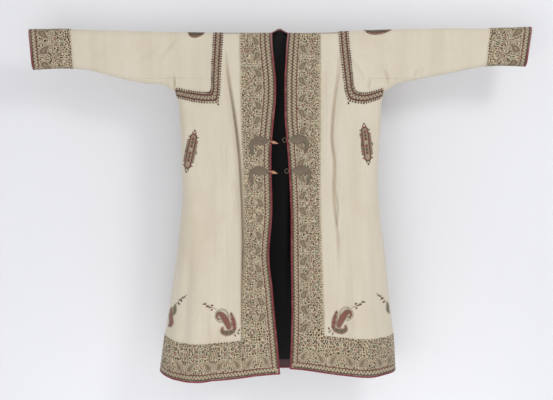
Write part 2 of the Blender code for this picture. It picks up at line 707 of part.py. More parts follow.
def sleeve(side):
    """A sleeve with its gore halves, its cuff border and its piping."""
    grid, border_row = sleeve_grid(side)
    rows, columns = grid.shape[0] - 1, grid.shape[1] - 1
    wall(f"sleeve_{side}", "cloth", grid, 0, CLOTH)
    cuff_cells = cells(grid, (border_row, rows), (0, columns))
    wall(f"border_cuff_{side}", "border", grid, SEAM + BORDER, BORDER, cuff_cells)
    cuff_edge = edge_of(grid, (-1, slice(None)), (-2, slice(None)))
    piping(f"piping_cuff_{side}", [cuff_edge], CLOTH - SEAM - BORDER)
    for face in ("front", "back"):
        wall(f"gore_{face}_{side}", "cloth", gore_grid(side, face, grid), 0, CLOTH)


for old in list(bpy.data.objects):
    bpy.data.objects.remove(old)
for hand in ("left", "right"):
    front(hand)
    sleeve(hand)
back()
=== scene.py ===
"""An open robe of chapan cut in cream wool, with paisley borders, crimson piping and a black lining.

Metres, +Z up, the fronts facing -Y. A place on the robe is given by x and by its drop below the shoulder
line. Left and right are the sides that someone sees who looks at the fronts.
"""

import bpy
import numpy as np
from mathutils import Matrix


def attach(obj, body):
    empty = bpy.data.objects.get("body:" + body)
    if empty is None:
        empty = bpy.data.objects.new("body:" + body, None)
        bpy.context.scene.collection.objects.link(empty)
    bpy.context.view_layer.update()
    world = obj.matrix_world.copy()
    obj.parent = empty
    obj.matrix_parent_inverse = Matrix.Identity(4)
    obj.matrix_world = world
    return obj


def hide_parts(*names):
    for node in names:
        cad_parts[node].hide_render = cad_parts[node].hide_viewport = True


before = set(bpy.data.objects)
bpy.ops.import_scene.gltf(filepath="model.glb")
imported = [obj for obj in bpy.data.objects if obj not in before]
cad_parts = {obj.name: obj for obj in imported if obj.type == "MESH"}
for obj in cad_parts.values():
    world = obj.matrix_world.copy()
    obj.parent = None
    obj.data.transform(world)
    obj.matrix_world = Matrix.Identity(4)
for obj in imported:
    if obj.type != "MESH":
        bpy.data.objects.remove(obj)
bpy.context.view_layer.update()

# Fronts. Two straight panels of cream wool twill, cut in one from the shoulder fold to the hem and lined with
# black silk. They hang open, each with a deep fold beside its border and soft flutes in the skirt. A front is
# drawn from its tables: where its edges and seams run, how full it hangs, and each crease.

SEAM = 0.0003
CLOTH = 0.0016
SEAM_DROP = 0.212
UNDERARM_OUT = 0.364
UNDERARM_DROP = 0.203
EDGE_ROUND = 0.022
NECK_HALF = 0.030
NECK_RISE = 0.012
BAND = 0.032
HEM_LEVEL = 1.172
SIDE_OF = {"left": -1.0, "right": 1.0}
FACE_OF = {"front": -1.0, "back": 1.0}


def table(names, *rows):
    """A table as a dictionary of columns. The first column holds the stations."""
    return {name: np.array(values) for name, values in zip(names.split(), zip(*rows))}


SIDE_SEAM = table(
    "drop left right",
    (0.203, 0.364, 0.364),
    (0.222, 0.357, 0.359),
    (0.320, 0.3445, 0.351),
    (0.504, 0.338, 0.342),
    (0.560, 0.336, 0.343),
    (0.657, 0.344, 0.352),
    (0.754, 0.354, 0.364),
    (0.852, 0.368, 0.374),
    (0.949, 0.381, 0.384),
    (1.046, 0.398, 0.395),
    (1.170, 0.414, 0.401),
)
UNDERSLEEVE = table(
    "out left right",
    (0.364, 0.203, 0.203),
    (0.388, 0.187, 0.188),
    (0.475, 0.174, 0.162),
    (0.537, 0.162, 0.150),
    (0.600, 0.146, 0.138),
    (0.662, 0.130, 0.126),
    (0.725, 0.1235, 0.115),
    (0.870, 0.1275, 0.116),
)
SHOULDER = table(
    "out left right",
    (0.000, 0.001, 0.001),
    (0.141, 0.000, 0.000),
    (0.238, -0.001, -0.006),
    (0.388, -0.004, -0.012),
    (0.600, -0.009, -0.0165),
    (0.725, -0.013, -0.0155),
    (0.880, -0.012, -0.0205),
)
ARMHOLE = table("drop left right", (0.0, 0.228, 0.245), (SEAM_DROP, 0.237, 0.257))
CUFF = table("drop left right", (-0.012, 0.864, 0.868), (0.128, 0.850, 0.847))
HEM = table(
    "out left right back",
    (0.000, 1.165, 1.147, 1.172),
    (0.080, 1.170, 1.152, 1.173),
    (0.200, 1.181, 1.163, 1.176),
    (0.275, 1.185, 1.168, 1.174),
    (0.360, 1.179, 1.165, 1.168),
    (0.415, 1.163, 1.159, 1.161),
)
FRONT_EDGE = table(
    "drop left right",
    (0.000, 0.0315, 0.0340),
    (0.024, 0.0315, 0.0315),
    (0.094, 0.0260, 0.0270),
    (0.163, 0.0190, 0.0235),
    (0.233, 0.0190, 0.0235),
    (0.302, 0.0255, 0.0245),
    (0.396, 0.0335, 0.0325),
    (0.629, 0.0315, 0.0445),
    (0.789, 0.0410, 0.0450),
    (0.872, 0.0315, 0.0465),
    (0.980, 0.0220, 0.0470),
    (1.077, 0.0125, 0.0445),
    (1.185, 0.0030, 0.0395),
)
BORDER_EDGE = table(
    "drop left right",
    (0.000, 0.1395, 0.1440),
    (0.310, 0.1335, 0.1436),
    (0.629, 0.1230, 0.1420),
    (0.900, 0.1290, 0.1500),
    (1.185, 0.1280, 0.1570),
)
FULLNESS = table(
    "drop front_edge front_swell back side_round",
    (0.000, 0.021, 0.021, 0.021, 0.022),
    (0.100, 0.026, 0.026, 0.024, 0.022),
    (0.210, 0.032, 0.036, 0.030, 0.024),
    (0.350, 0.040, 0.048, 0.040, 0.034),
    (0.550, 0.052, 0.064, 0.052, 0.050),
    (0.800, 0.072, 0.095, 0.070, 0.075),
    (1.000, 0.088, 0.125, 0.086, 0.095),
    (1.190, 0.100, 0.150, 0.100, 0.110),
)
SLEEVE_FULLNESS = 0.022
BORDER_FOLD = table(
    "drop left right left_deep right_deep",
    (0.050, 0.192, 0.212, 0.000, 0.000),
    (0.110, 0.184, 0.207, 0.005, 0.004),
    (0.268, 0.1585, 0.186, 0.014, 0.010),
    (0.370, 0.1445, 0.180, 0.016, 0.010),
    (0.457, 0.136, 0.189, 0.015, 0.009),
    (0.537, 0.131, 0.186, 0.015, 0.009),
    (0.735, 0.125, 0.200, 0.013, 0.006),
    (0.860, 0.128, 0.197, 0.009, 0.000),
    (1.060, 0.129, 0.197, 0.004, 0.000),
    (1.190, 0.129, 0.197, 0.000, 0.000),
)
# The fold is steep on its border side and soft on the other, with a narrow slot down its middle.
FOLD_STEEP, FOLD_SOFT = 0.0048, 0.018
SLOT_HALF, SLOT_SHARE = 0.0040, 0.95
FLUTES = table(
    "face x_start x_hem start height half",
    (-1.0, -0.262, -0.275, 0.62, 0.010, 0.040),
    (-1.0, -0.222, -0.226, 0.62, -0.006, 0.018),
    (-1.0, -0.300, -0.338, 0.62, -0.006, 0.020),
    (-1.0, 0.275, 0.300, 0.60, 0.010, 0.042),
    (-1.0, 0.325, 0.356, 0.60, -0.008, 0.022),
    (1.0, -0.210, -0.260, 0.40, 0.012, 0.055),
    (1.0, -0.060, -0.075, 0.45, -0.010, 0.040),
    (1.0, 0.095, 0.120, 0.42, 0.010, 0.050),
    (1.0, 0.250, 0.285, 0.50, -0.008, 0.035),
)
# Creases listed one by one: from one place to another, how far the line bows, the half width, the height of its
# ridge (a trough is below 0), and the step from one of its sides to the other.
CREASES = table(
    "face x_a drop_a x_b drop_b bow half height step",
    (-1.0, -0.255, 0.350, -0.238, 0.475, 0.004, 0.0080, -0.0016, 0.0012),
    (-1.0, -0.186, 0.380, -0.180, 0.520, 0.000, 0.0070, -0.0014, 0.0010),
    (-1.0, -0.173, 0.500, -0.150, 0.640, 0.006, 0.0075, 0.0028, 0.0014),
    (-1.0, -0.160, 0.560, -0.148, 0.690, 0.003, 0.0050, -0.0016, 0.0010),
    (-1.0, -0.215, 0.060, -0.200, 0.215, 0.002, 0.0100, -0.0014, 0.0010),
    (-1.0, -0.3665, 0.140, -0.3600, 0.200, 0.001, 0.0042, -0.0046, 0.0026),
    (-1.0, -0.378, 0.150, -0.392, 0.186, 0.002, 0.0045, 0.0020, 0.0016),
    (-1.0, -0.345, 0.012, -0.412, 0.100, -0.004, 0.0130, -0.0026, 0.0020),
    (-1.0, -0.420, 0.035, -0.500, 0.110, 0.005, 0.0180, -0.0018, 0.0012),
    (-1.0, -0.560, 0.020, -0.660, 0.100, 0.004, 0.0200, -0.0012, 0.0008),
    (-1.0, -0.300, 0.030, -0.290, 0.180, 0.003, 0.0120, 0.0012, 0.0008),
    (-1.0, -0.300, 0.260, -0.285, 0.520, 0.005, 0.0150, 0.0020, 0.0010),
    (-1.0, -0.225, 0.520, -0.215, 0.980, 0.004, 0.0140, 0.0024, 0.0010),
    (-1.0, -0.185, 0.600, -0.178, 1.160, 0.003, 0.0120, -0.0026, 0.0012),
    (-1.0, -0.300, 0.700, -0.318, 1.150, 0.003, 0.0130, -0.0022, 0.0012),
    (-1.0, -0.244, 0.900, -0.250, 1.180, 0.000, 0.0090, 0.0020, 0.0010),
    (-1.0, -0.205, 0.980, -0.208, 1.180, 0.000, 0.0080, -0.0018, 0.0008),
    (-1.0, -0.335, 0.560, -0.362, 1.050, 0.004, 0.0110, -0.0020, 0.0008),
    (-1.0, 0.190, 0.540, 0.203, 0.640, 0.002, 0.0045, -0.0026, 0.0016),
    (-1.0, 0.200, 0.570, 0.188, 0.720, 0.006, 0.0060, 0.0026, 0.0010),
    (-1.0, 0.162, 0.110, 0.160, 0.300, 0.002, 0.0100, 0.0014, 0.0008),
    (-1.0, 0.2440, 0.090, 0.2940, 0.172, 0.006, 0.0054, -0.0030, 0.0014),
    (-1.0, 0.262, 0.072, 0.300, 0.088, 0.004, 0.0060, -0.0016, 0.0010),
    (-1.0, 0.3154, 0.160, 0.3100, 0.204, -0.003, 0.0042, -0.0036, 0.0018),
    (-1.0, 0.3510, 0.116, 0.3700, 0.196, 0.010, 0.0046, -0.0040, -0.0020),
    (-1.0, 0.3350, 0.080, 0.3500, 0.150, 0.004, 0.0080, 0.0016, 0.0012),
    (-1.0, 0.4080, 0.160, 0.3900, 0.192, 0.000, 0.0042, -0.0034, 0.0018),
    (-1.0, 0.4780, 0.118, 0.4600, 0.172, 0.002, 0.0044, -0.0030, 0.0016),
    (-1.0, 0.4970, 0.108, 0.4800, 0.170, 0.002, 0.0056, -0.0024, 0.0014),
    (-1.0, 0.330, 0.010, 0.420, 0.080, 0.006, 0.0180, -0.0020, 0.0012),
    (-1.0, 0.560, 0.000, 0.640, 0.080, 0.004, 0.0200, -0.0012, 0.0008),
    (-1.0, 0.262, 0.255, 0.280, 0.420, 0.004, 0.0070, -0.0020, 0.0012),
    (-1.0, 0.330, 0.240, 0.322, 0.360, 0.003, 0.0070, -0.0022, 0.0012),
    (-1.0, 0.240, 0.420, 0.245, 0.620, 0.004, 0.0120, 0.0018, 0.0010),
    (-1.0, 0.235, 0.640, 0.250, 1.150, 0.003, 0.0130, 0.0026, 0.0010),
    (-1.0, 0.318, 0.600, 0.330, 1.000, 0.004, 0.0110, -0.0030, 0.0014),
    (-1.0, 0.222, 0.820, 0.228, 1.160, 0.002, 0.0090, -0.0020, 0.0010),
    (-1.0, 0.290, 0.980, 0.300, 1.160, 0.000, 0.0080, -0.0020, 0.0010),
    (-1.0, 0.085, 0.200, 0.082, 0.420, 0.002, 0.0110, -0.0012, 0.0006),
    (-1.0, 0.100, 0.640, 0.104, 1.000, 0.002, 0.0120, 0.0014, 0.0006),
    (-1.0, -0.085, 0.560, -0.080, 0.960, 0.002, 0.0120, -0.0014, 0.0006),
    (1.0, -0.150, 0.080, -0.190, 0.500, 0.008, 0.0100, -0.0034, 0.0018),
    (1.0, 0.140, 0.100, 0.200, 0.520, -0.008, 0.0110, -0.0030, 0.0016),
    (1.0, -0.020, 0.060, -0.060, 0.420, 0.006, 0.0130, -0.0024, 0.0010),
    (1.0, 0.040, 0.300, 0.030, 0.900, 0.008, 0.0140, 0.0030, 0.0012),
    (1.0, -0.250, 0.240, -0.240, 0.620, 0.006, 0.0100, 0.0026, 0.0012),
    (1.0, 0.290, 0.250, 0.260, 0.560, 0.006, 0.0090, -0.0024, 0.0014),
    (1.0, -0.366, 0.095, -0.362, 0.196, 0.005, 0.0050, -0.0042, 0.0020),
    (1.0, 0.372, 0.105, 0.366, 0.196, -0.005, 0.0055, -0.0040, 0.0018),
    (1.0, -0.340, 0.020, -0.420, 0.110, 0.004, 0.0150, -0.0024, 0.0014),
    (1.0, 0.345, 0.015, 0.430, 0.100, 0.004, 0.0160, -0.0022, 0.0014),
    (1.0, -0.120, 0.620, -0.150, 1.160, 0.004, 0.0130, -0.0030, 0.0014),
    (1.0, 0.190, 0.660, 0.215, 1.150, 0.004, 0.0120, -0.0028, 0.0014),
    (1.0, -0.310, 0.600, -0.345, 1.100, 0.004, 0.0110, 0.0024, 0.0010),
    (1.0, 0.330, 0.700, 0.350, 1.100, 0.004, 0.0100, 0.0022, 0.0010),
)

# How much deeper the creases and flutes are made than their tables say, and the height of the slow waves.
CREASE_DEPTH, FLUTE_DEPTH, UNEVEN = 1.7, 1.3, 0.0007


def read(rows, name, at):
    """Reads a column at any station, smoothly. Past the table's ends its end values hold."""
    stations = next(iter(rows.values()))
    values = rows[name]
    slopes = np.gradient(values, stations)
    k = np.clip(np.searchsorted(stations, at) - 1, 0, len(stations) - 2)
    gap = stations[k + 1] - stations[k]
    t = np.clip((at - stations[k]) / gap, 0, 1)
    start = (1 + 2 * t) * (1 - t) ** 2 * values[k] + t * (1 - t) ** 2 * gap * slopes[k]
    return start + t * t * (3 - 2 * t) * values[k + 1] + t * t * (t - 1) * gap * slopes[k + 1]


def for_side(rows, x, at, names=("left", "right")):
    """Reads one column where x is below 0, and the other elsewhere."""
    return np.where(x < 0, read(rows, names[0], at), read(rows, names[1], at))


def smooth_step(low, high, value):
    t = np.clip((value - low) / (high - low), 0, 1)
    return t * t * (3 - 2 * t)


def rounding(inside, radius):
    """A quarter round: 0 on an edge, 1 from one radius inside it."""
    s = np.clip(1 - inside / radius, 0, 1)
    return np.sqrt(1 - s * s)


def neck_share(x):
    """1 in the middle of the back neck, 0 outside the neck."""
    return 1 - smooth_step(0.1 * NECK_HALF, 1.15 * NECK_HALF, np.abs(x))


def top_drop(face, x):
    """The upper edge: the shoulder fold, and on the back the neck curve that stands a little above it."""
    rise = NECK_RISE * neck_share(x) if face == "back" else 0.0
    return for_side(SHOULDER, x, np.abs(x)) - rise


def creased(face, x, drop):
    """The height that the hand-laid creases add."""
    height = np.zeros(np.broadcast(x, drop).shape)
    for row in zip(*CREASES.values()):
        which, x_a, drop_a, x_b, drop_b, bow, half, ridge, step = row
        if which != FACE_OF[face]:
            continue
        run, fall = x_b - x_a, drop_b - drop_a
        length = np.hypot(run, fall)
        t = ((x - x_a) * run + (drop - drop_a) * fall) / length**2
        ease = np.sin(np.pi * np.clip(t, 0, 1)) ** 0.8
        aside = ((x - x_a) * fall - (drop - drop_a) * run) / length - 4 * bow * t * (1 - t)
        q = aside / (half * (0.6 + 0.4 * ease))
        height += CREASE_DEPTH * (ridge + 2.3 * step * q) * np.exp(-q * q) * ease
    return height


def stand_off(face, x, drop):
    """How far the cloth stands from the middle plane. It is 0 at the shoulder, side seam and undersleeve."""
    out = np.abs(x)
    top = rounding(drop - top_drop(face, x), EDGE_ROUND)
    if face == "back":
        top = top + (0.75 - top) * neck_share(x) * (top < 0.75)
    inside = np.maximum(for_side(UNDERSLEEVE, x, out) - drop, for_side(SIDE_SEAM, x, drop) - out)
    low = rounding(inside, read(FULLNESS, "side_round", drop))
    if face == "back":
        body = read(FULLNESS, "back", drop)
    else:
        share = np.clip((out / for_side(SIDE_SEAM, x, drop) - 0.08) / 0.6, 0, 1)
        edge, middle = read(FULLNESS, "front_edge", drop), read(FULLNESS, "front_swell", drop)
        body = edge + (middle - edge) * np.sin(share * np.pi / 2) ** 2
        deep = for_side(BORDER_FOLD, x, drop, ("left_deep", "right_deep"))
        aside = out - for_side(BORDER_FOLD, x, drop)
        body = body - deep * np.exp(-((aside / np.where(aside < 0, FOLD_STEEP, FOLD_SOFT)) ** 2))
        body = body - SLOT_SHARE * deep * np.exp(-((aside / SLOT_HALF) ** 2))
    for which, x_start, x_hem, start, height, half in zip(*FLUTES.values()):
        if which == FACE_OF[face]:
            down = np.clip((drop - start) / (HEM_LEVEL - start), 0, 1)
            centre = x_start + (x_hem - x_start) * down
            bell = np.exp(-(((x - centre) / half) ** 2))
            body = body + FLUTE_DEPTH * height * smooth_step(0, 0.6, down) * bell
    in_sleeve = smooth_step(0.25, 0.42, out) * (1 - smooth_step(0.20, 0.34, drop))
    body = body * (1 - in_sleeve) + SLEEVE_FULLNESS * in_sleeve
    # Hung cloth is never quite even: slow waves, under a millimetre high.
    body = body + UNEVEN * (np.sin(31 * x + 9 * drop) + np.sin(17 * drop - 23 * x + 1.3) * np.sin(47 * x))
    return (body + creased(face, x, drop)) * top * low


def points(face, x, drop):
    """Points on the outside of the cloth, half a seam clear of the middle plane."""
    y = FACE_OF[face] * (stand_off(face, x, drop) + SEAM / 2)
    return np.stack([x, y, -drop], axis=-1)


def outward(face, x, drop):
    """The cloth's outward directions at places on it."""
    reach = 0.0004
    by_x = (stand_off(face, x + reach, drop) - stand_off(face, x - reach, drop)) / (2 * reach)
    by_drop = (stand_off(face, x, drop + reach) - stand_off(face, x, drop - reach)) / (2 * reach)
    n = np.stack([-by_x, np.full(np.shape(by_x), FACE_OF[face]), by_drop], axis=-1)
    return n / np.linalg.norm(n, axis=-1, keepdims=True)


def normals(grid):
    """Outward directions at a grid's points, in the middle plane on an edge that meets the other face."""
    n = np.cross(np.gradient(grid, axis=0), np.gradient(grid, axis=1))
    n /= np.maximum(np.linalg.norm(n, axis=-1, keepdims=True), 1e-12)
    if (n[..., 1] * grid[..., 1]).sum() < 0:
        n = -n
    n[..., 1] = np.where(np.abs(grid[..., 1]) < 0.6 * SEAM, 0, n[..., 1])
    return n / np.maximum(np.linalg.norm(n, axis=-1, keepdims=True), 1e-12)


def add_mesh(name, vertices, faces, finishes, chosen=None):
    """A mesh object. chosen gives each face's place in the list of finishes."""
    mesh = bpy.data.meshes.new(name)
    mesh.from_pydata(vertices, [], faces)
    for finish in finishes:
        mesh.materials.append(finish)
    if chosen is not None:
        mesh.polygons.foreach_set("material_index", np.asarray(chosen, np.int32))
    mesh.shade_smooth()
    mesh.set_sharp_from_angle(angle=0.9)
    obj = bpy.data.objects.new(name, mesh)
    bpy.context.scene.collection.objects.link(obj)
    return obj


def shell(name, grid, lift, thick, outside, inside, keep=None, flat=None):
    """A closed sheet over a grid: lift is how far its outer side is above it, keep marks the cells that it
    has, and flat gives each point's place on the uncut cloth in metres, for the weave.
    """
    rows, columns = grid.shape[0] - 1, grid.shape[1] - 1
    keep = np.ones((rows, columns), bool) if keep is None else keep
    n = normals(grid)
    lift, thick = (np.broadcast_to(size, grid.shape[:2])[..., None] for size in (lift, thick))
    both = np.concatenate([(grid + n * lift).reshape(-1, 3), (grid + n * (lift - thick)).reshape(-1, 3)])
    half = (rows + 1) * (columns + 1)
    number = np.arange(half).reshape(rows + 1, columns + 1)
    i, j = np.nonzero(keep)
    quads = np.stack([number[i, j], number[i + 1, j], number[i + 1, j + 1], number[i, j + 1]], axis=-1)
    beside = np.pad(keep, 1)
    faces, chosen = [quads, quads[:, ::-1] + half], [0, 1]
    for (down, over), (a, b) in (((0, -1), (0, 1)), ((1, 0), (1, 2)), ((0, 1), (2, 3)), ((-1, 0), (3, 0))):
        rim = quads[~beside[1 + i + down, 1 + j + over]]
        faces.append(np.stack([rim[:, b], rim[:, a], rim[:, a] + half, rim[:, b] + half], axis=-1))
        chosen.append(0)
    chosen = np.concatenate([np.full(len(f), c) for f, c in zip(faces, chosen)])
    faces = np.concatenate(faces)
    if (np.cross(np.gradient(grid, axis=0), np.gradient(grid, axis=1)) * n).sum() < 0:
        faces = faces[:, ::-1]
    used, faces = np.unique(faces, return_inverse=True)
    obj = add_mesh(name, both[used], faces.reshape(-1, 4).tolist(), [outside, inside], chosen)
    if flat is not None:
        uv = np.tile(flat.reshape(-1, 2), (2, 1))[used][faces.reshape(-1)]
        layer = obj.data.uv_layers.new(name="weave")
        layer.data.foreach_set("uv", uv.reshape(-1).astype(np.float32))
    return obj


def linear(code):
    """An sRGB hex colour as linear red, green, blue and alpha."""
    parts = np.array([int(code[k : k + 2], 16) for k in (1, 3, 5)]) / 255
    return (*np.where(parts <= 0.04045, parts / 12.92, ((parts + 0.055) / 1.055) ** 2.4), 1.0)


def add(tree, kind, inputs=None, **settings):
    """Adds a node with its settings. An input is a value, or another node's output to link."""
    made = tree.nodes.new(kind)
    for name, value in settings.items():
        setattr(made, name, value)
    for name, value in (inputs or {}).items():
        if isinstance(value, bpy.types.NodeSocket):
            tree.links.new(value, made.inputs[name])
        else:
            made.inputs[name].default_value = value
    return made


def material(name, **uniform):
    """A new material, its tree, its shader and the robe's own coordinates. Uniform values go on its sockets."""
    made = bpy.data.materials.new(name)
    made.use_nodes = True
    tree = made.node_tree
    shader = tree.nodes["Principled BSDF"]
    for key, value in uniform.items():
        shader.inputs[key.replace("_", " ")].default_value = value
    return made, tree, shader, add(tree, "ShaderNodeTexCoord").outputs["Object"]


def mixed(tree, share, low, high):
    """A colour from low to high. Each is a hex code or another node's output."""
    low, high = (linear(c) if isinstance(c, str) else c for c in (low, high))
    made = add(tree, "ShaderNodeMix", {0: share, 6: low, 7: high}, data_type="RGBA")
    return made.outputs[2]


def noise(tree, where, scale, detail):
    return add(tree, "ShaderNodeTexNoise", {"Vector": where, "Scale": scale, "Detail": detail}).outputs["Fac"]


def stretched(tree, where, scale):
    """Coordinates scaled by axis, so that a noise drawn on them runs along one of them."""
    return add(tree, "ShaderNodeMapping", {"Vector": where, "Scale": scale}).outputs[0]


def ranged(tree, value, low, high, start=0.0, end=1.0):
    """What lies from low to high, stretched to run from start to end."""
    return add(tree, "ShaderNodeMapRange", {0: value, 1: low, 2: high, 3: start, 4: end}).outputs[0]


def finish(tree, shader, colour, height, strength, distance):
    """Gives the shader its colour, and its relief from a height and the relief's real distance."""
    tree.links.new(colour, shader.inputs["Base Color"])
    bump = add(tree, "ShaderNodeBump", {"Height": height, "Strength": strength, "Distance": distance})
    tree.links.new(bump.outputs[0], shader.inputs["Normal"])


# Wool twill, woven and lightly fulled: matt with a soft nap, a shade uneven along the warp, a little yellowed
# where it has been handled. The twill's real pitch is 0.8 mm, and it is drawn at 2.4 mm so that it shows.
TWILL_PITCH = 0.0024
wool, tree, shader, where = material(
    "wool_twill", Roughness=0.9, Sheen_Weight=0.18, Sheen_Roughness=0.6, Specular_IOR_Level=0.25
)
streak = noise(tree, stretched(tree, where, (22, 22, 1.6)), 1.0, 4.0)
aged = noise(tree, where, 5.0, 5.0)
yarn = noise(tree, stretched(tree, where, (420, 420, 60)), 1.0, 2.0)
tone = mixed(tree, ranged(tree, streak, 0.3, 0.7), "#CFC5AF", "#D9CFBC")
tone = mixed(tree, ranged(tree, aged, 0.52, 0.8, end=0.6), tone, "#C9BB9F")
tone = mixed(tree, ranged(tree, yarn, 0.2, 0.8, end=0.35), tone, "#C2B6A2")
ribs = add(
    tree, "ShaderNodeTexWave", {"Vector": where, "Scale": 0.628 / TWILL_PITCH, "Distortion": 0.6},
    bands_direction="DIAGONAL",
).outputs["Fac"]
nap = add(tree, "ShaderNodeMath", {0: ribs, 1: yarn}, operation="ADD").outputs[0]
finish(tree, shader, tone, nap, 0.35, 0.0003)


def plain_silk(name, across, low, high, **uniform):
    """Plain-woven silk with its weft across. across scales the thread's noise by axis."""
    made, tree, shader, where = material(name, **uniform)
    thread = noise(tree, stretched(tree, where, across), 1.0, 3.0)
    finish(tree, shader, mixed(tree, thread, low, high), thread, 0.3, 0.0003)
    return made


# Lining silk, plain woven and dyed black: it gives the eye almost nothing but a dull shine on its folds.
lining = plain_silk(
    "lining_silk_black", (25, 25, 400), "#050404", "#0D0A09", Roughness=0.6, Specular_IOR_Level=0.2
)

HEM_BORDER = 0.120
FACING_TALL = 0.026
FRONT_CELLS = (32, 56, 8, 22)
TOP_ROWS, YOKE_ROWS, SKIRT_ROWS, HEM_ROWS, FACING_ROWS = 8, 34, 104, 16, 4


def between(lines, cells):
    """Places across a panel. The gaps between its lines are cut into cells, finer towards the side seam."""
    x = np.empty_like(lines[0])
    start = 0
    for k, count in enumerate(cells):
        share = np.arange(count + 1) / count
        if k == len(cells) - 1:
            share = 1 - (1 - share) ** 2
        part = slice(start, start + count + 1)
        x[:, part] = lines[k][:, part] + (lines[k + 1] - lines[k])[:, part] * share
        start += count
    return x


def lines_at(side, face, drop, side_drop):
    """The main lines of half a body panel: edge, border or neck, and the seams."""
    seam = read(SIDE_SEAM, side, side_drop) + 0 * drop
    reach = (seam - read(SIDE_SEAM, side, SEAM_DROP)) * 0.6
    arm = read(ARMHOLE, side, drop) + np.where(drop > SEAM_DROP, reach, 0)
    if face == "front":
        inner = read(FRONT_EDGE, side, drop), read(BORDER_EDGE, side, drop)
    else:
        inner = 0 * drop, NECK_HALF + 0 * drop
    return (*inner, arm - BAND, arm, seam)


def hem_at(side, face, out):
    """The hem's drop under each place on the seam row."""
    at_hem = read(SIDE_SEAM, side, HEM_LEVEL)
    if face == "front":
        return read(HEM, side, np.clip(out / out[-1], 0, 1) * at_hem)
    own = read(HEM, "back", out / UNDERARM_OUT * at_hem)
    near = smooth_step(0.8, 1.0, out / UNDERARM_OUT)
    return own * (1 - near) + read(HEM, side, at_hem) * near


def body_panel(side, face, cells):
    """Distances out and drops of half a body panel, and the number of its seam row."""
    sign = SIDE_OF[side]
    columns = sum(cells) + 1
    fold = read(SHOULDER, side, ARMHOLE[side][0])
    first = fold + EDGE_ROUND
    curve = EDGE_ROUND * (1 - np.cos(np.linspace(0, np.pi / 2, TOP_ROWS, endpoint=False)))
    level = np.concatenate([fold + curve, np.linspace(first, SEAM_DROP, YOKE_ROWS)])
    level = np.repeat(level[:, None], columns, axis=1)
    out = between(lines_at(side, face, level, SEAM_DROP), cells)
    start = top_drop(face, sign * out)
    share = np.clip((level - first) / (SEAM_DROP - first), 0, 1)
    below = start + EDGE_ROUND + (SEAM_DROP - start - EDGE_ROUND) * share
    drop = np.where(level < first, start + level - fold, below)
    arm, seam = out[-1][-1 - cells[-1]], UNDERARM_OUT
    outer = np.clip((out[-1] - arm) / (seam - arm), 0, 1)
    drop[-1] = SEAM_DROP + (UNDERARM_DROP + 0.001 - SEAM_DROP) * outer
    hem = hem_at(side, face, out[-1])
    stages = drop[-1], hem - HEM_BORDER, hem - FACING_TALL, hem
    skirt = np.concatenate([
        low + (high - low) * np.linspace(0, 1, count + 1)[1:, None]
        for low, high, count in zip(stages, stages[1:], (SKIRT_ROWS, HEM_ROWS, FACING_ROWS))
    ])
    out_skirt = between(lines_at(side, face, skirt, skirt), cells)
    return np.concatenate([out, out_skirt]), np.concatenate([drop, skirt]), len(level) - 1


def dress(piece, slot, *nodes):
    """A finished piece rides with the robe and stands for its nodes, which it hides. Its slot is not used."""
    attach(piece, "root")
    if nodes:
        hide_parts(*nodes)


fronts = {}
for side, sign in SIDE_OF.items():
    out, drop, seam_row = body_panel(side, "front", FRONT_CELLS)
    grid = points("front", sign * out, drop)
    keep = np.ones((grid.shape[0] - 1, grid.shape[1] - 1), bool)
    keep[:seam_row, -FRONT_CELLS[-1] :] = False
    front = shell(f"front_{side}", grid, 0, CLOTH, wool, lining, keep)
    dress(front, "wool", f"front_{side}")
    fronts[side] = {"grid": grid, "out": out[-1], "drop": drop[-1]}

# Back. One panel of the same wool in one piece with no middle seam, joined to the fronts at the side seams and
# lined with black silk, with a strip of dark red silk facing inside its hem.

LINING = 0.0008
BACK_CELLS = (8, 30, 8, 24)

halves, halves_hem = {}, {}
for side, sign in SIDE_OF.items():
    out, drop, seam_row = body_panel(side, "back", BACK_CELLS)
    halves[side] = points("back", sign * out, drop)
    halves_hem[side] = out[-1], drop[-1]
back_grid = np.concatenate([halves["left"][:, ::-1], halves["right"][:, 1:]], axis=1)
keep = np.ones((back_grid.shape[0] - 1, back_grid.shape[1] - 1), bool)
keep[:seam_row, : BACK_CELLS[-1]] = False
keep[:seam_row, -BACK_CELLS[-1] :] = False
back = shell("back_panel", back_grid, 0, CLOTH, wool, lining, keep)
dress(back, "wool", "back")

inside_lift = -CLOTH - SEAM
lined = keep.copy()
lined[-FACING_ROWS:] = False
lining_grid = back_grid.copy()
lining_grid[0] += (back_grid[0] - back_grid[1]) * 0.6 * neck_share(back_grid[0, :, :1])
back_lining = shell("back_lining", lining_grid, inside_lift, LINING, lining, lining, lined)
dress(back_lining, "lining", "lining_back")

# Facing silk, plain woven and dyed dark red: a dull shine, near black in the robe's own shade.
facing = plain_silk(
    "facing_silk_red", (30, 30, 500), "#2E070D", "#430F17", Roughness=0.5, Sheen_Weight=0.1
)
strip = back_grid[-FACING_ROWS - 1 :].copy()
strip[0] += (strip[1] - strip[0]) * 0.08
back_facing = shell("back_facing", strip, inside_lift, LINING, facing, facing)
dress(back_facing, "facing", "facing_back")

# Sleeves. One straight piece of the wool each, folded along the top and narrowing to the wrist, lined in
# black. An underarm gore in two halves widens it towards the body.

GORE_DROP = 0.160
GORE_GAP = 0.0004
GORE_ROWS = 64
AROUND = 44


def gore_tip(side):
    """How far out the gore ends: where the undersleeve rises to the gore's upper seam."""
    stations = np.linspace(UNDERARM_OUT, UNDERSLEEVE["out"][-1], 800)
    return stations[np.argmin(np.abs(read(UNDERSLEEVE, side, stations) - GORE_DROP))]


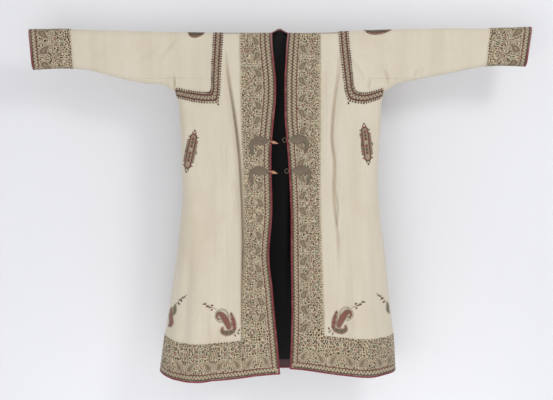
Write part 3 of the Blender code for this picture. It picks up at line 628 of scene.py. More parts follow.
def sleeve_grid(side, stations, tip):
    """Rows from armhole to cuff. Columns from the front's lower edge over the top to the back's."""
    arm, cuff = ARMHOLE[side][0], CUFF[side][0]
    rows = []
    for station in stations:
        top, under = read(SHOULDER, side, station), read(UNDERSLEEVE, side, station)
        low = min(under, GORE_DROP - SEAM / 2) if station < tip - 1e-6 else under
        end = np.arccos(np.clip(1 - 2 * (low - top) / (under - top), -1, 1))
        drop = top + (under - top) * (1 - np.cos(np.linspace(0, end, AROUND + 1))) / 2
        arm_lean = read(ARMHOLE, side, drop) + SEAM / 2 - arm
        cuff_lean = read(CUFF, side, drop) - cuff
        share = (station - arm) / (cuff - arm)
        out = SIDE_OF[side] * (station + arm_lean * (1 - share) ** 2 + cuff_lean * share**2)
        faces = [points(face, out, drop) for face in ("front", "back")]
        rows.append(np.concatenate([faces[0][::-1], faces[1]]))
    return np.array(rows)


def gore_grid(side, face, edge):
    """Half of a gore, from the sleeve's lower edge down to the armhole band and the undersleeve."""
    rows = []
    share = np.linspace(0, 1, 11)
    for number, (x, y, z) in enumerate(edge):
        out, edge_drop = abs(x), -z + GORE_GAP
        under = read(UNDERSLEEVE, side, max(out, UNDERARM_OUT))
        if out < UNDERARM_OUT:
            foot = ARMHOLE[side][-1]
            part = np.clip((out - foot) / (UNDERARM_OUT - foot), 0, 1)
            low = SEAM_DROP + (UNDERARM_DROP - SEAM_DROP) * part
            drop = edge_drop + (low - GORE_GAP - edge_drop) * share
        else:
            angle = np.arccos(np.clip((under - edge_drop) / EDGE_ROUND - 1, -1, 1))
            drop = under - EDGE_ROUND * (1 + np.cos(angle + (np.pi - angle) * share))
        place = read(ARMHOLE, side, drop) + 2 * SEAM if number == 0 else np.full(len(drop), out)
        rows.append(points(face, SIDE_OF[side] * place, drop))
    rows = np.array(rows)
    rows[-1] = rows[-2] + (rows[-1] - rows[-2]) * 0.7
    return rows


sleeves = {}
for side in SIDE_OF:
    tip = gore_tip(side)
    upper_arm = np.linspace(ARMHOLE[side][0], tip, GORE_ROWS)
    lower_arm = np.linspace(tip, CUFF[side][0], 90)[1:]
    grid = sleeve_grid(side, np.concatenate([upper_arm, lower_arm]), tip)
    sleeve = shell(f"sleeve_{side}", grid, 0, CLOTH, wool, lining)
    dress(sleeve, "wool", f"sleeve_{side}")
    for face, column in (("front", 0), ("back", -1)):
        half_gore = gore_grid(side, face, grid[:GORE_ROWS, column])
        gore = shell(f"gore_{face}_{side}", half_gore, 0, CLOTH, wool, lining)
        dress(gore, "wool", f"gore_{face}_{side}")
    sleeves[side] = grid

# Borders. Long strips of fine shawl weave in taupe, cream, rose and dark red, cut to shape and sewn flat on
# the wool: down both front edges, along the hem and round the cuffs.

BORDER = 0.0009
CUFF_BORDER = 0.145
LIFT = SEAM + BORDER


def spread(grid):
    """Each grid point's place on the flat cloth: distances along its rows and down its columns."""
    over = np.linalg.norm(np.diff(grid, axis=1), axis=-1).cumsum(axis=1)
    down = np.linalg.norm(np.diff(grid, axis=0), axis=-1).cumsum(axis=0)
    return np.stack([np.pad(over, ((0, 0), (1, 0))), np.pad(down, ((1, 0), (0, 0)))], axis=-1)


# Shawl weave: a twill ground of taupe wool, covered by a net of cream yarn round small brown, rose and
# grey-green fields. The net's cells are 9 mm wide, as they show in the photo.
CELL = 0.009
shawl, tree, shader, _ = material("shawl_weave", Roughness=0.85, Sheen_Weight=0.1, Specular_IOR_Level=0.25)
place = add(tree, "ShaderNodeUVMap", uv_map="weave").outputs[0]
sway = add(tree, "ShaderNodeTexNoise", {"Vector": place, "Scale": 130.0, "Detail": 1.0}).outputs["Color"]
shift = add(tree, "ShaderNodeVectorMath", {0: sway, "Scale": 0.008}, operation="SCALE").outputs[0]
place = add(tree, "ShaderNodeVectorMath", {0: place, 1: shift}, operation="ADD").outputs[0]
cells = {"Vector": place, "Scale": 1 / CELL, "Randomness": 0.75}
net = add(tree, "ShaderNodeTexVoronoi", cells, feature="DISTANCE_TO_EDGE").outputs["Distance"]
field = add(tree, "ShaderNodeTexVoronoi", cells)
kind = add(tree, "ShaderNodeSeparateColor", {0: field.outputs["Color"]}).outputs[0]
rosy = add(tree, "ShaderNodeMath", {0: kind, 1: 0.72}, operation="GREATER_THAN").outputs[0]
green = add(tree, "ShaderNodeMath", {0: kind, 1: 0.25}, operation="LESS_THAN").outputs[0]
spot = mixed(tree, green, mixed(tree, rosy, "#382B22", "#743F3B"), "#525746")
cell = mixed(tree, ranged(tree, field.outputs["Distance"], 0.3, 0.46), spot, "#64543F")
line = ranged(tree, net, 0.09, 0.16, 1.0, 0.0)
finish(tree, shader, mixed(tree, line, cell, "#C5B799"), line, 0.5, 0.0004)

border_columns = FRONT_CELLS[0]
hem_rows = HEM_ROWS + FACING_ROWS
for side in SIDE_OF:
    grid = fronts[side]["grid"]
    strip = grid[:, : border_columns + 1]
    border = shell(f"border_front_{side}", strip, LIFT, BORDER, shawl, shawl, flat=spread(strip))
    dress(border, "border", f"border_front_{side}")
    strip = grid[-hem_rows - 1 :, border_columns:].copy()
    strip[:, 0] += (strip[:, 1] - strip[:, 0]) * 0.1
    border = shell(f"border_hem_{side}", strip, LIFT, BORDER, shawl, shawl, flat=spread(strip))
    dress(border, "border", f"border_hem_{side}")
strip = back_grid[-hem_rows - 1 :]
border = shell("border_hem_back", strip, LIFT, BORDER, shawl, shawl, flat=spread(strip))
dress(border, "border", "border_hem_back")

for side in SIDE_OF:
    grid = sleeves[side]
    first = np.searchsorted(np.abs(grid[:, AROUND // 2, 0]), CUFF[side][0] - CUFF_BORDER)
    strip = grid[first:]
    border = shell(f"border_cuff_{side}", strip, LIFT, BORDER, shawl, shawl, flat=spread(strip))
    dress(border, "border", f"border_cuff_{side}")

# Armhole bands. A strip of the same weave down the front and back of each armhole seam, turned at its foot
# along the gore's seam to the underarm.

# Where a band's edges run on the front: out and drop of its edge on the sleeve's side, then of the other.
BAND_EDGES = {
    "left": (
        (0.2275, -0.001, 0.1960, 0.000), (0.2290, 0.030, 0.1975, 0.030), (0.2330, 0.110, 0.2020, 0.110),
        (0.2340, 0.160, 0.2055, 0.175), (0.2350, 0.195, 0.2075, 0.222), (0.2400, 0.2080, 0.2120, 0.2430),
        (0.2560, 0.2095, 0.2420, 0.2470), (0.2853, 0.2075, 0.2800, 0.2440), (0.3200, 0.2015, 0.3180, 0.2360),
        (0.3625, 0.1925, 0.3545, 0.2260),
    ),
    "right": (
        (0.2380, -0.006, 0.2055, -0.004), (0.2400, 0.030, 0.2075, 0.030), (0.2480, 0.112, 0.2158, 0.112),
        (0.2525, 0.160, 0.2230, 0.175), (0.2560, 0.190, 0.2300, 0.220), (0.2640, 0.2050, 0.2400, 0.2380),
        (0.2790, 0.2105, 0.2640, 0.2455), (0.2980, 0.2115, 0.2930, 0.2475), (0.3260, 0.2050, 0.3230, 0.2390),
        (0.3612, 0.1930, 0.3540, 0.2270),
    ),
}


def smooth_path(stops, count):
    """A curve through its stops, and its distances along."""
    stops = np.array(stops, float)
    along = np.concatenate([[0], np.linalg.norm(np.diff(stops, axis=0), axis=1).cumsum()])
    at = np.linspace(0, along[-1], count)
    columns = [read({"at": along, "value": stops[:, k]}, "value", at) for k in range(stops.shape[1])]
    return np.stack(columns, axis=-1), at


def band_edges(side):
    """A band's two edges as one fine path, and distances along the band itself."""
    edges, at = smooth_path(BAND_EDGES[side], 200)
    return edges, at / np.sqrt(2)


def band_place(side, along, aside):
    """Where a place on a band lies: its distance out and drop. aside runs from 0 to 1 towards the middle."""
    edges, at = band_edges(side)
    inner_out, inner_drop, outer_out, outer_drop = (np.interp(along, at, edges[:, k]) for k in range(4))
    out = inner_out + (outer_out - inner_out) * aside
    drop = inner_drop + (outer_drop - inner_drop) * aside
    return out, np.maximum(drop, for_side(SHOULDER, SIDE_OF[side], out))


for side in SIDE_OF:
    length = band_edges(side)[1][-1]
    top_rows = EDGE_ROUND * (1 - np.cos(np.linspace(0, np.pi / 2, 8)))
    for face in FACE_OF:
        along = np.concatenate([top_rows, np.linspace(EDGE_ROUND, length, 110)[1:]])
        along, aside = np.meshgrid(along, np.linspace(0, 1, 13), indexing="ij")
        out, drop = band_place(side, along, aside)
        strip = points(face, SIDE_OF[side] * out, drop)
        band = shell(f"band_{face}_{side}", strip, LIFT, BORDER, shawl, shawl, flat=spread(strip))
        dress(band, "border", f"band_{face}_{side}")

# Needlework of the borders. Paisleys, scrolled leaves, round flowers and cross-bars in silk stitches, each
# outlined in cream and brown, between a zigzag guard line on the finished edge and a row of buds on the other.
# A shape is drawn flat in millimetres: how far along the border, how far in from its guard line, and its lift.

STITCH_COLOURS = {
    "cream": "#CABC9F",
    "fawn": "#918169",
    "taupe": "#75654F",
    "olive": "#69664F",
    "rose": "#865046",
    "red": "#6B2F30",
    "brown": "#3B2D23",
    "green": "#66715E",
}


def stitched(name, colour):
    """Silk or fine wool stitches. They lie close together, so they show as a soft ribbed shine."""
    made, tree, shader, where = material(
        f"stitches_{name}", Roughness=0.6, Sheen_Weight=0.1, Specular_IOR_Level=0.3
    )
    share = ranged(tree, noise(tree, where, 90.0, 3.0), 0.35, 0.75, end=0.4)
    finish(tree, shader, mixed(tree, share, colour, "#6B5A48"), noise(tree, where, 900.0, 1.0), 0.3, 0.0002)
    return made


stitches = {name: stitched(name, colour) for name, colour in STITCH_COLOURS.items()}
MM = 0.001


def unit(v):
    """Vectors brought to length 1."""
    return v / np.maximum(np.linalg.norm(v, axis=-1, keepdims=True), 1e-12)


def strip_faces(rows, columns):
    """The faces of a strip whose points run row by row."""
    i, j = np.meshgrid(np.arange(rows - 1), np.arange(columns - 1), indexing="ij")
    k = (i * columns + j).reshape(-1)
    return np.stack([k, k + columns, k + columns + 1, k + 1], axis=-1)


COLUMN = 4.0
PETAL_FULL = 0.75


def filled(colour, spine, step, half, level, dome):
    """A filled shape: its spine, the way it runs there, its half widths, its level and how far it domes."""
    side = np.stack([-step[:, 1], step[:, 0]], axis=-1)
    shares = np.linspace(-1, 1, 1 + 2 * int(np.ceil(max(half.max() / COLUMN, 0.5))))
    flat = spine[:, None] + side[:, None] * (half[:, None] * shares)[..., None]
    lift = level + dome * (1 - shares**2) * np.ones((len(spine), 1))
    rows = np.concatenate([flat, lift[..., None]], axis=-1).reshape(-1, 3)
    return [(rows, strip_faces(len(spine), len(shares)), colour)]


def petal(colour, at, heading, length, width, curl=0.0, blunt=0.6, margin=0.0, level=0.0, dome=0.0, spans=9):
    """A leaf of stitches from its base at a place, along a heading in degrees that turns by curl."""
    t = np.linspace(0, 1, spans + 1)
    angle = np.radians(heading + curl * t**1.3)
    step = np.stack([np.cos(angle), np.sin(angle)], axis=-1)
    steps = (step[1:] + step[:-1]) / 2 * length / spans
    spine = np.array(at) + np.concatenate([[[0, 0]], steps.cumsum(axis=0)])
    spine[0] -= step[0] * margin
    spine[-1] += step[-1] * margin
    half = width / 2 * np.abs(np.sin(np.pi * t**blunt)) ** PETAL_FULL + margin
    half[0] = half[-1] = 0.3 * margin + 0.1
    return filled(colour, spine, step, half, level, dome)


def blade(layers, stops, count=24):
    """Layers of one shape along a curve. Each stop gives a place and the shape's width there."""
    path, _ = smooth_path(stops, count)
    step = unit(np.gradient(path[:, :2], axis=0))
    made = []
    for k, (colour, margin) in enumerate(layers):
        spine = path[:, :2].copy()
        spine[0] -= step[0] * margin
        spine[-1] += step[-1] * margin
        half = path[:, 2] / 2 + margin
        half[0] = half[-1] = 0.3 * margin + 0.1
        made += filled(colour, spine, step, half, 0.12 * k, 0.3 * (k == len(layers) - 1))
    return made


def nested(layers, *args, **kwargs):
    """The same leaf several times, each layer smaller and higher: pairs of colour and margin."""
    made = []
    for k, (colour, margin) in enumerate(layers):
        top = k == len(layers) - 1
        made += petal(colour, *args, margin=margin, level=0.12 * k, dome=0.3 * top, **kwargs)
    return made


def ridge(colour, stops, width, level=0.1, high=0.35, count=None):
    """A couched cord along a smooth path."""
    path, _ = smooth_path(stops, count or 4 * len(stops))
    turn = np.gradient(path, axis=0)
    turn /= np.linalg.norm(turn, axis=1, keepdims=True)
    side = np.stack([-turn[:, 1], turn[:, 0]], axis=-1)
    shares = np.array([-1, 0, 1])
    flat = path[:, None] + side[:, None] * (width / 2 * shares)[:, None]
    lift = level + high * (1 - shares**2) * np.ones((len(path), 1))
    rows = np.concatenate([flat, lift[..., None]], axis=-1).reshape(-1, 3)
    return [(rows, strip_faces(len(path), 3), colour)]


def zigzag(colour, start, end, aside, high, pitch, width):
    """A cord that runs to and fro between two lines."""
    count = int((end - start) / pitch * 2)
    along = np.linspace(start, end, count + 1)
    across = aside + high / 2 * np.where(np.arange(count + 1) % 2, 1, -1)
    return ridge(colour, np.stack([along, across], axis=-1), width, count=3 * count + 1)


def moved(shapes, along=0.0, flip=1, stretch=(1.0, 1.0)):
    """Shapes moved, stretched, and mirrored along the border where flip is -1."""
    scale = np.array([flip * stretch[0], stretch[1], 1.0])
    return [(p * scale + (along, 0, 0), faces, colour) for p, faces, colour in shapes]


def flower(colour, along, aside, radius):
    """A round flower: a ring of petals drawn as rings of colour, with a light eye."""
    made = []
    for k, (ring, share) in enumerate((("cream", 1.35), ("brown", 1.05), (colour, 0.85), ("cream", 0.3))):
        across = 2 * radius * share
        at = (along - across / 2, aside)
        made += petal(ring, at, 0, across, across, blunt=1.0, level=0.12 * k, dome=0.2 * (k == 3), spans=6)
    return made


def boteh(at, heading, length, width, curl, body="fawn", heart="taupe"):
    """A paisley: a curled drop with two outlines round it, a filled body and a smaller drop for its heart."""
    outline = (("cream", 5.6), ("brown", 4.0), ("cream", 2.3), (body, 0.0))
    made = nested(outline, at, heading, length, width, curl=curl, blunt=0.5, spans=12)
    lead = np.radians(heading)
    inner = np.array(at) + np.array([np.cos(lead), np.sin(lead)]) * 0.16 * length
    return made + petal(heart, inner, heading + 0.1 * curl, 0.55 * length, 0.34 * width, curl=0.6 * curl,
                        blunt=0.5, level=0.62, dome=0.15)


def leaf(colour, at, heading, length, width, curl=0.0, blunt=0.7):
    return nested((("cream", 1.7), (colour, 0.0)), at, heading, length, width, curl=curl, blunt=blunt)


def field_unit():
    """One repeat of the front and cuff borders, 112 mm long on a field 80 mm wide."""
    half = boteh((12, 13), 12, 37, 20, 58, body="taupe", heart="fawn")
    half += leaf("brown", (5, 37), -22, 19, 5.0, curl=-45)
    half += leaf("olive", (14, 32), 4, 13, 3.5, curl=50)
    half += nested((("rose", 1.8), ("cream", 0.9), ("taupe", 0.0)), (4, 50), 62, 23, 4.0, curl=-70)
    half += leaf("taupe", (15, 46), 58, 21, 5.0, curl=-50)
    half += leaf("brown", (24, 50), 50, 14, 4.5, curl=30)
    half += leaf("taupe", (33, 60), 100, 12, 4.0, curl=-40)
    half += flower("rose", 43, 50, 4.8) + flower("olive", 43, 66, 5.4)
    half += leaf("brown", (30, 72), 20, 12, 3.6, curl=-30) + leaf("olive", (18, 74), -10, 9, 3.4, curl=20)
    across = (16, 39.5), (30, 40.5), (50, 41)
    half += ridge("cream", across, 5.0) + ridge("brown", across, 1.6, level=0.5)
    half += leaf("taupe", (46, 5), 60, 9, 3.6, curl=30) + leaf("brown", (40, 14), 30, 10, 3.4, curl=-40)
    upright = (56, 2), (56, 40)
    bar = ridge("cream", upright, 5.5, count=6) + ridge("brown", upright, 1.6, level=0.5, count=6)
    for at in (8, 24, 38):
        bar += leaf("rose", (56, at), 90, 8, 4.0, blunt=0.9)
    for at in (46, 62):
        bar += leaf("green", (56, at), 90, 14, 4.4, blunt=0.9)
    centre = nested((("brown", 3.2), ("cream", 2.0), ("rose", 0.0)), (-5, 44), 0, 10, 6, blunt=1.0)
    centre += leaf("olive", (-2, 4), 90, 12, 5, blunt=0.9)
    centre += leaf("brown", (0, 56), 90, 11, 5, blunt=0.8) + leaf("taupe", (0, 70), 90, 10, 4.5, blunt=0.8)
    return half + moved(half, flip=-1) + bar + centre


def hem_unit():
    """One repeat of the hem border, 98 mm long and 98 mm tall: two paisleys with their tips together."""
    half = boteh((34, 7), 100, 42, 18, 55)
    half += leaf("brown", (44, 30), 80, 16, 4.2, curl=-20) + leaf("olive", (40, 46), 95, 12, 4.6, curl=30)
    half += leaf("brown", (8, 4), 60, 13, 4.4, curl=40) + leaf("rose", (5, 22), 80, 12, 4.4, curl=-40)
    half += flower("rose", 12, 62, 5.6) + flower("brown", 12, 77, 5.6)
    half += flower("olive", 36, 66, 5.0) + flower("brown", 34, 82, 4.6)
    half += leaf("brown", (22, 62), 75, 17, 4.4, curl=25) + leaf("rose", (24, 84), 60, 11, 4.0, curl=40)
    half += leaf("olive", (4, 84), 40, 12, 4.0, curl=40) + leaf("rose", (46, 60), 100, 12, 4.4, curl=-20)
    half += leaf("brown", (44, 78), 60, 12, 4.0, curl=50)
    upright = (0, 4), (0, 50), (0, 88)
    middle = ridge("cream", upright, 4.6) + ridge("brown", upright, 1.5, level=0.5)
    for at in (22, 36, 50):
        middle += leaf("red" if at == 36 else "brown", (0, at), 90, 8, 4.4, blunt=0.9)
    upright = (49, 4), (49, 52)
    edge = ridge("cream", upright, 4.6, count=6) + ridge("red", upright, 1.5, level=0.5, count=6)
    edge += nested((("cream", 2.6), ("brown", 1.2), ("fawn", 0.0)), (49, 46), 90, 12, 6, blunt=1.0)
    return half + moved(half, flip=-1) + middle + edge


def lies_on(x, drop, behind):
    """Places on the cloth's outside and its directions there, on the back where behind is true."""
    front, back = points("front", x, drop), points("back", x, drop)
    n_front, n_back = outward("front", x, drop), outward("back", x, drop)
    which = behind[:, None]
    return np.where(which, back, front), np.where(which, n_back, n_front)


def worked(name, shapes, place, base_lift=LIFT):
    """Sews flat shapes on the robe. place turns millimetres into x, drop and whether it is on the back."""
    flat = np.concatenate([p for p, _, _ in shapes])
    starts = np.cumsum([0] + [len(p) for p, _, _ in shapes])
    faces = np.concatenate([f + start for (_, f, _), start in zip(shapes, starts)])
    names = list(STITCH_COLOURS)
    chosen = np.concatenate([np.full(len(f), names.index(colour)) for _, f, colour in shapes])
    x, drop, behind = place(flat[:, 0], flat[:, 1])
    base, n = lies_on(x, drop, behind)
    vertices = base + n * (base_lift + STITCH_LIFT + flat[:, 2:] * MM)
    corners = vertices[faces]
    facing_way = np.cross(corners[:, 2] - corners[:, 0], corners[:, 3] - corners[:, 1])
    turned = (facing_way * n[faces[:, 0]]).sum(axis=1) < 0
    faces[turned] = faces[turned][:, ::-1]
    dress(add_mesh(name, vertices, faces.tolist(), [stitches[c] for c in names], chosen), "border")


STITCH_LIFT = 0.00035
GUARD = 0.0185
GUARD_LOW = 2.0 - GUARD / MM
GUARD_PITCH = 11.0
FIELD_WIDE = 85.0
# The drop where a front's guard line turns into the hem's, and half the way round a cuff in millimetres.
CORNER_DROP = 1.14
CUFF_HALF = 150.0
# Where the front borders' repeats meet, and how far down the second guard line reaches.
REPEAT = 112.0
FIRST_REPEAT = {"left": 1.0, "right": 88.0}
SECOND_GUARD_END = {"left": 0.378, "right": 0.372}


def guard_line(side, drop):
    """How far out a front border's field starts."""
    second = 1 - smooth_step(SECOND_GUARD_END[side] + 0.004, SECOND_GUARD_END[side] + 0.012, drop)
    return read(FRONT_EDGE, side, drop) + GUARD * (1 + 0.92 * second)


def on_front(side):
    def place(along, aside):
        drop = along * MM
        guard, far = guard_line(side, drop), read(BORDER_EDGE, side, drop)
        out = np.where(aside < 0, guard + aside * MM, guard + (far - guard) * aside / FIELD_WIDE)
        drop = np.maximum(drop, for_side(SHOULDER, SIDE_OF[side], out) + 0.0005)
        return SIDE_OF[side] * out, drop, np.zeros(len(out), bool)

    return place


def on_hem(side, face):
    """Along the hem from the guard line's corner, or from the middle of the back."""
    sign = SIDE_OF[side]
    if face == "front":
        row_out, row_drop, start = fronts[side]["out"], fronts[side]["drop"], guard_line(side, CORNER_DROP)
    else:
        row_out, row_drop, start = *halves_hem[side], 0.0
    seam_at_hem = row_out[-1]

    def place(along, aside):
        out = start + along * MM
        drop = np.interp(out, row_out, row_drop) - GUARD - aside * MM
        lean = read(SIDE_SEAM, side, drop) - seam_at_hem
        out = out + lean * np.clip(out / seam_at_hem, 0, 1) ** 2
        return sign * out, drop, np.full(len(out), face == "back")

    return place


def on_cuff(side):
    """Round a cuff from the top fold down the front, and up the back where along is below 0."""
    def place(along, aside):
        station = CUFF[side][0]
        top, under = read(SHOULDER, side, station), read(UNDERSLEEVE, side, station)
        half_round = EDGE_ROUND * np.pi / 2
        reach = (under - top) / 2
        length = np.abs(along) * MM
        full = half_round + reach - EDGE_ROUND
        from_top = np.where(length < full, length, 2 * full - length)
        turned = EDGE_ROUND * (1 - np.cos(np.minimum(from_top / half_round, 1) * np.pi / 2))
        inward = turned + np.maximum(from_top - half_round, 0)
        drop = np.where(length < full, top + inward, under - inward)
        cuff = read(CUFF, side, drop)
        out = cuff - GUARD - aside * MM
        shift_top = read(SHOULDER, side, out) - top
        shift_low = read(UNDERSLEEVE, side, out) - under
        share = (drop - top) / (under - top)
        return SIDE_OF[side] * out, drop + shift_top * (1 - share) + shift_low * share, along < 0

    return place


def guard_shapes(start, end, low=GUARD_LOW, high=0.0):
    """A guard stripe: two dark lines with a cream zigzag between them."""
    count = max(int((end - start) / 6), 2)
    middle, tall = (low + high) / 2, high - low - 6.5
    made = ridge("taupe", ((start, middle), (end, middle)), high - low - 2, high=0.0, count=count)
    made += ridge("brown", ((start, low), (end, low)), 2.6, count=count)
    made += ridge("red", ((start, high), (end, high)), 2.6, count=count)
    return made + zigzag("cream", start, end, middle, tall, GUARD_PITCH, 2.7)


def repeats(repeat, middles, start=-np.inf, end=np.inf, **kwargs):
    """A repeat's shapes about each middle, but only those that lie whole between start and end."""
    placed = [shape for middle in middles for shape in moved(repeat, along=middle, **kwargs)]
    return [shape for shape in placed if shape[0][:, 0].min() > start and shape[0][:, 0].max() < end]


unit_of_field, unit_of_hem = field_unit(), hem_unit()
front_long, seam_at, hem_long = {}, {}, {}
for side in SIDE_OF:
    front_long[side] = (fronts[side]["drop"][:border_columns].mean() - HEM_BORDER) / MM
    seam_at[side] = read(SIDE_SEAM, side, HEM_LEVEL) / MM
    hem_long[side] = seam_at[side] - guard_line(side, CORNER_DROP) / MM
    ends = front_long[side] + (HEM_BORDER - GUARD) / MM
    shapes = repeats(unit_of_field, FIRST_REPEAT[side] + REPEAT * np.arange(-0.5, 11), 1, front_long[side])
    line = (0, FIELD_WIDE - 3.4), (front_long[side], FIELD_WIDE - 3.4)
    shapes += ridge("cream", line, 6.8, 0.0, 0.1, count=200) + guard_shapes(0.0, ends)
    shapes += guard_shapes(0.0, SECOND_GUARD_END[side] / MM, GUARD_LOW + 1.5 - GUARD / MM, GUARD_LOW)
    worked(f"needlework_front_{side}", shapes, on_front(side))
    shapes = repeats(unit_of_hem, (50, 148, 246, 344), 2, hem_long[side] - 6)
    worked(f"needlework_hem_{side}", shapes + guard_shapes(-14.0, hem_long[side] - 2), on_hem(side, "front"))
    shapes = repeats(unit_of_hem, (49, 147, 245, 343), end=seam_at[side] - 12)
    worked(f"needlework_hem_back_{side}", shapes + guard_shapes(0.0, seam_at[side] - 2), on_hem(side, "back"))
    shapes = repeats(unit_of_field, (-99, 5, 117), stretch=(1.05, 1.32))
    shapes += guard_shapes(-CUFF_HALF, 0.0) + guard_shapes(0.0, CUFF_HALF)
    worked(f"needlework_cuff_{side}", shapes, on_cuff(side))

# Needlework of the bands. A zigzag between two dark lines down the middle, and a pale margin for the buds.


def on_band(side, face):
    def place(along, aside):
        out, drop = band_place(side, along * MM, 0.5 + aside / BAND_ACROSS)
        return SIDE_OF[side] * out, drop, np.full(len(out), face == "back")

    return place


def straight(start, end, aside, count):
    """The spine of a straight strip, and the way it runs."""
    along = np.linspace(start, end, count)
    return np.stack([along, np.full(count, aside)], axis=-1), np.tile([1.0, 0.0], (count, 1))


BAND_ACROSS = 31.0
BUD_PITCH = 8.7
TOOTH_PITCH = 8.2
for side in SIDE_OF:
    length = band_edges(side)[1][-1] / MM
    for face in FACE_OF:
        shapes = []
        for aside in (-12.2, 12.2):
            shapes += ridge("cream", ((1, aside), (length, aside)), 6.0, level=0.0, high=0.1, count=90)
        shapes += filled("fawn", *straight(0, length, 0.0, 120), np.full(120, 9.0), 0.15, 0.0)
        for aside, colour in ((-9.2, "brown"), (-6.4, "red"), (6.4, "red"), (9.2, "brown")):
            shapes += ridge(colour, ((1, aside), (length, aside)), 2.7, level=0.2, count=120)
        for shift, colour in ((0, "cream"), (4.5, "brown")):
            shapes += moved(zigzag(colour, 2, length - 5, 0.0, 7.4, 12.0, 2.5), along=shift)
        worked(f"needlework_band_{face}_{side}", shapes, on_band(side, face))

# Buds and dots. A row of drop-shaped buds edges every border and band, and small dots fill the guard lines'
# zigzags. Each is a few satin stitches over a padding: a low oval laid with its own direction on the cloth.


def bead_tree():
    """Lays one low oval at every point: its length along a direction, its height away from the cloth."""
    tree = bpy.data.node_groups.new("beads", "GeometryNodeTree")
    tree.interface.new_socket("Geometry", in_out="INPUT", socket_type="NodeSocketGeometry")
    for name in ("Length", "Width", "Height", "Uneven"):
        tree.interface.new_socket(name, in_out="INPUT", socket_type="NodeSocketFloat")
    tree.interface.new_socket("Finish", in_out="INPUT", socket_type="NodeSocketMaterial")
    tree.interface.new_socket("Geometry", in_out="OUTPUT", socket_type="NodeSocketGeometry")
    given = tree.nodes.new("NodeGroupInput").outputs
    ways = [
        add(tree, "GeometryNodeInputNamedAttribute", {"Name": name}, data_type="FLOAT_VECTOR").outputs[0]
        for name in ("outward", "along")
    ]
    up = add(tree, "FunctionNodeAlignRotationToVector", {"Vector": ways[0]}, axis="Z").outputs[0]
    turned = add(
        tree, "FunctionNodeAlignRotationToVector", {"Rotation": up, "Vector": ways[1]},
        axis="X", pivot_axis="Z",
    )
    low = add(tree, "ShaderNodeMath", {0: 1.0, 1: given["Uneven"]}, operation="SUBTRACT").outputs[0]
    high = add(tree, "ShaderNodeMath", {0: 1.0, 1: given["Uneven"]}, operation="ADD").outputs[0]
    chance = add(tree, "FunctionNodeRandomValue", {"Min": low, "Max": high, "Seed": 7}, data_type="FLOAT")
    sizes = []
    for name in ("Length", "Width"):
        size = add(tree, "ShaderNodeMath", {0: given[name], 1: chance.outputs[1]}, operation="MULTIPLY")
        sizes.append(size.outputs[0])
    scale = add(tree, "ShaderNodeCombineXYZ", {0: sizes[0], 1: sizes[1], 2: given["Height"]}).outputs[0]
    oval = add(tree, "GeometryNodeMeshIcoSphere", {"Radius": 0.5, "Subdivisions": 1}).outputs[0]
    laid = add(tree, "GeometryNodeInstanceOnPoints", {
        "Points": given["Geometry"], "Instance": oval, "Rotation": turned.outputs[0], "Scale": scale,
    }).outputs[0]
    real = add(tree, "GeometryNodeRealizeInstances", {"Geometry": laid}).outputs[0]
    smooth = add(tree, "GeometryNodeSetShadeSmooth", {"Geometry": real}).outputs[0]
    coloured = {"Geometry": smooth, "Material": given["Finish"]}
    finished = add(tree, "GeometryNodeSetMaterial", coloured).outputs[0]
    out = tree.nodes.new("NodeGroupOutput")
    tree.links.new(finished, out.inputs[0])
    return tree


beads_of = bead_tree()
BEAD_SIZES = {
    "bud": (0.0052, 0.0034, 0.0012),
    "dot": (0.0042, 0.0032, 0.0011),
    "tooth": (0.0092, 0.0058, 0.0014),
}


def beads(name, kind, colour, base, way, n):
    """Real ovals of one kind and colour at places on the cloth."""
    mesh = bpy.data.meshes.new("places")
    mesh.from_pydata(base, [], [])
    for key, values in (("along", way), ("outward", n)):
        mesh.attributes.new(key, "FLOAT_VECTOR", "POINT").data.foreach_set("vector", values.reshape(-1))
    host = bpy.data.objects.new("places", mesh)
    bpy.context.scene.collection.objects.link(host)
    modifier = host.modifiers.new("beads", "NODES")
    modifier.node_group = beads_of
    sizes = zip(("Length", "Width", "Height"), BEAD_SIZES[kind])
    settings = dict(sizes, Uneven=0.16, Finish=stitches[colour])
    for socket in beads_of.interface.items_tree:
        if socket.in_out == "INPUT" and socket.name in settings:
            modifier[socket.identifier] = settings[socket.name]
    real = bpy.data.meshes.new_from_object(host.evaluated_get(bpy.context.evaluated_depsgraph_get()))
    bpy.data.objects.remove(host)
    piece = bpy.data.objects.new(name, real)
    bpy.context.scene.collection.objects.link(piece)
    dress(piece, "border")


def bead_row(kind, colours, place, along, aside):
    """Adds places to bead_rows, in turn for each colour. The beads lie across the border."""
    along, aside = np.broadcast_arrays(along, aside)
    ends = []
    for share in (0.0, 1.0):
        x, drop, behind = place(along, aside + share)
        base, n = lies_on(x, drop, behind)
        ends.append(base)
    base = ends[0] + n * (LIFT + STITCH_LIFT)
    for k, colour in enumerate(colours):
        part = slice(k, None, len(colours))
        bead_rows.setdefault((kind, colour), []).append((base[part], unit(ends[1] - ends[0])[part], n[part]))


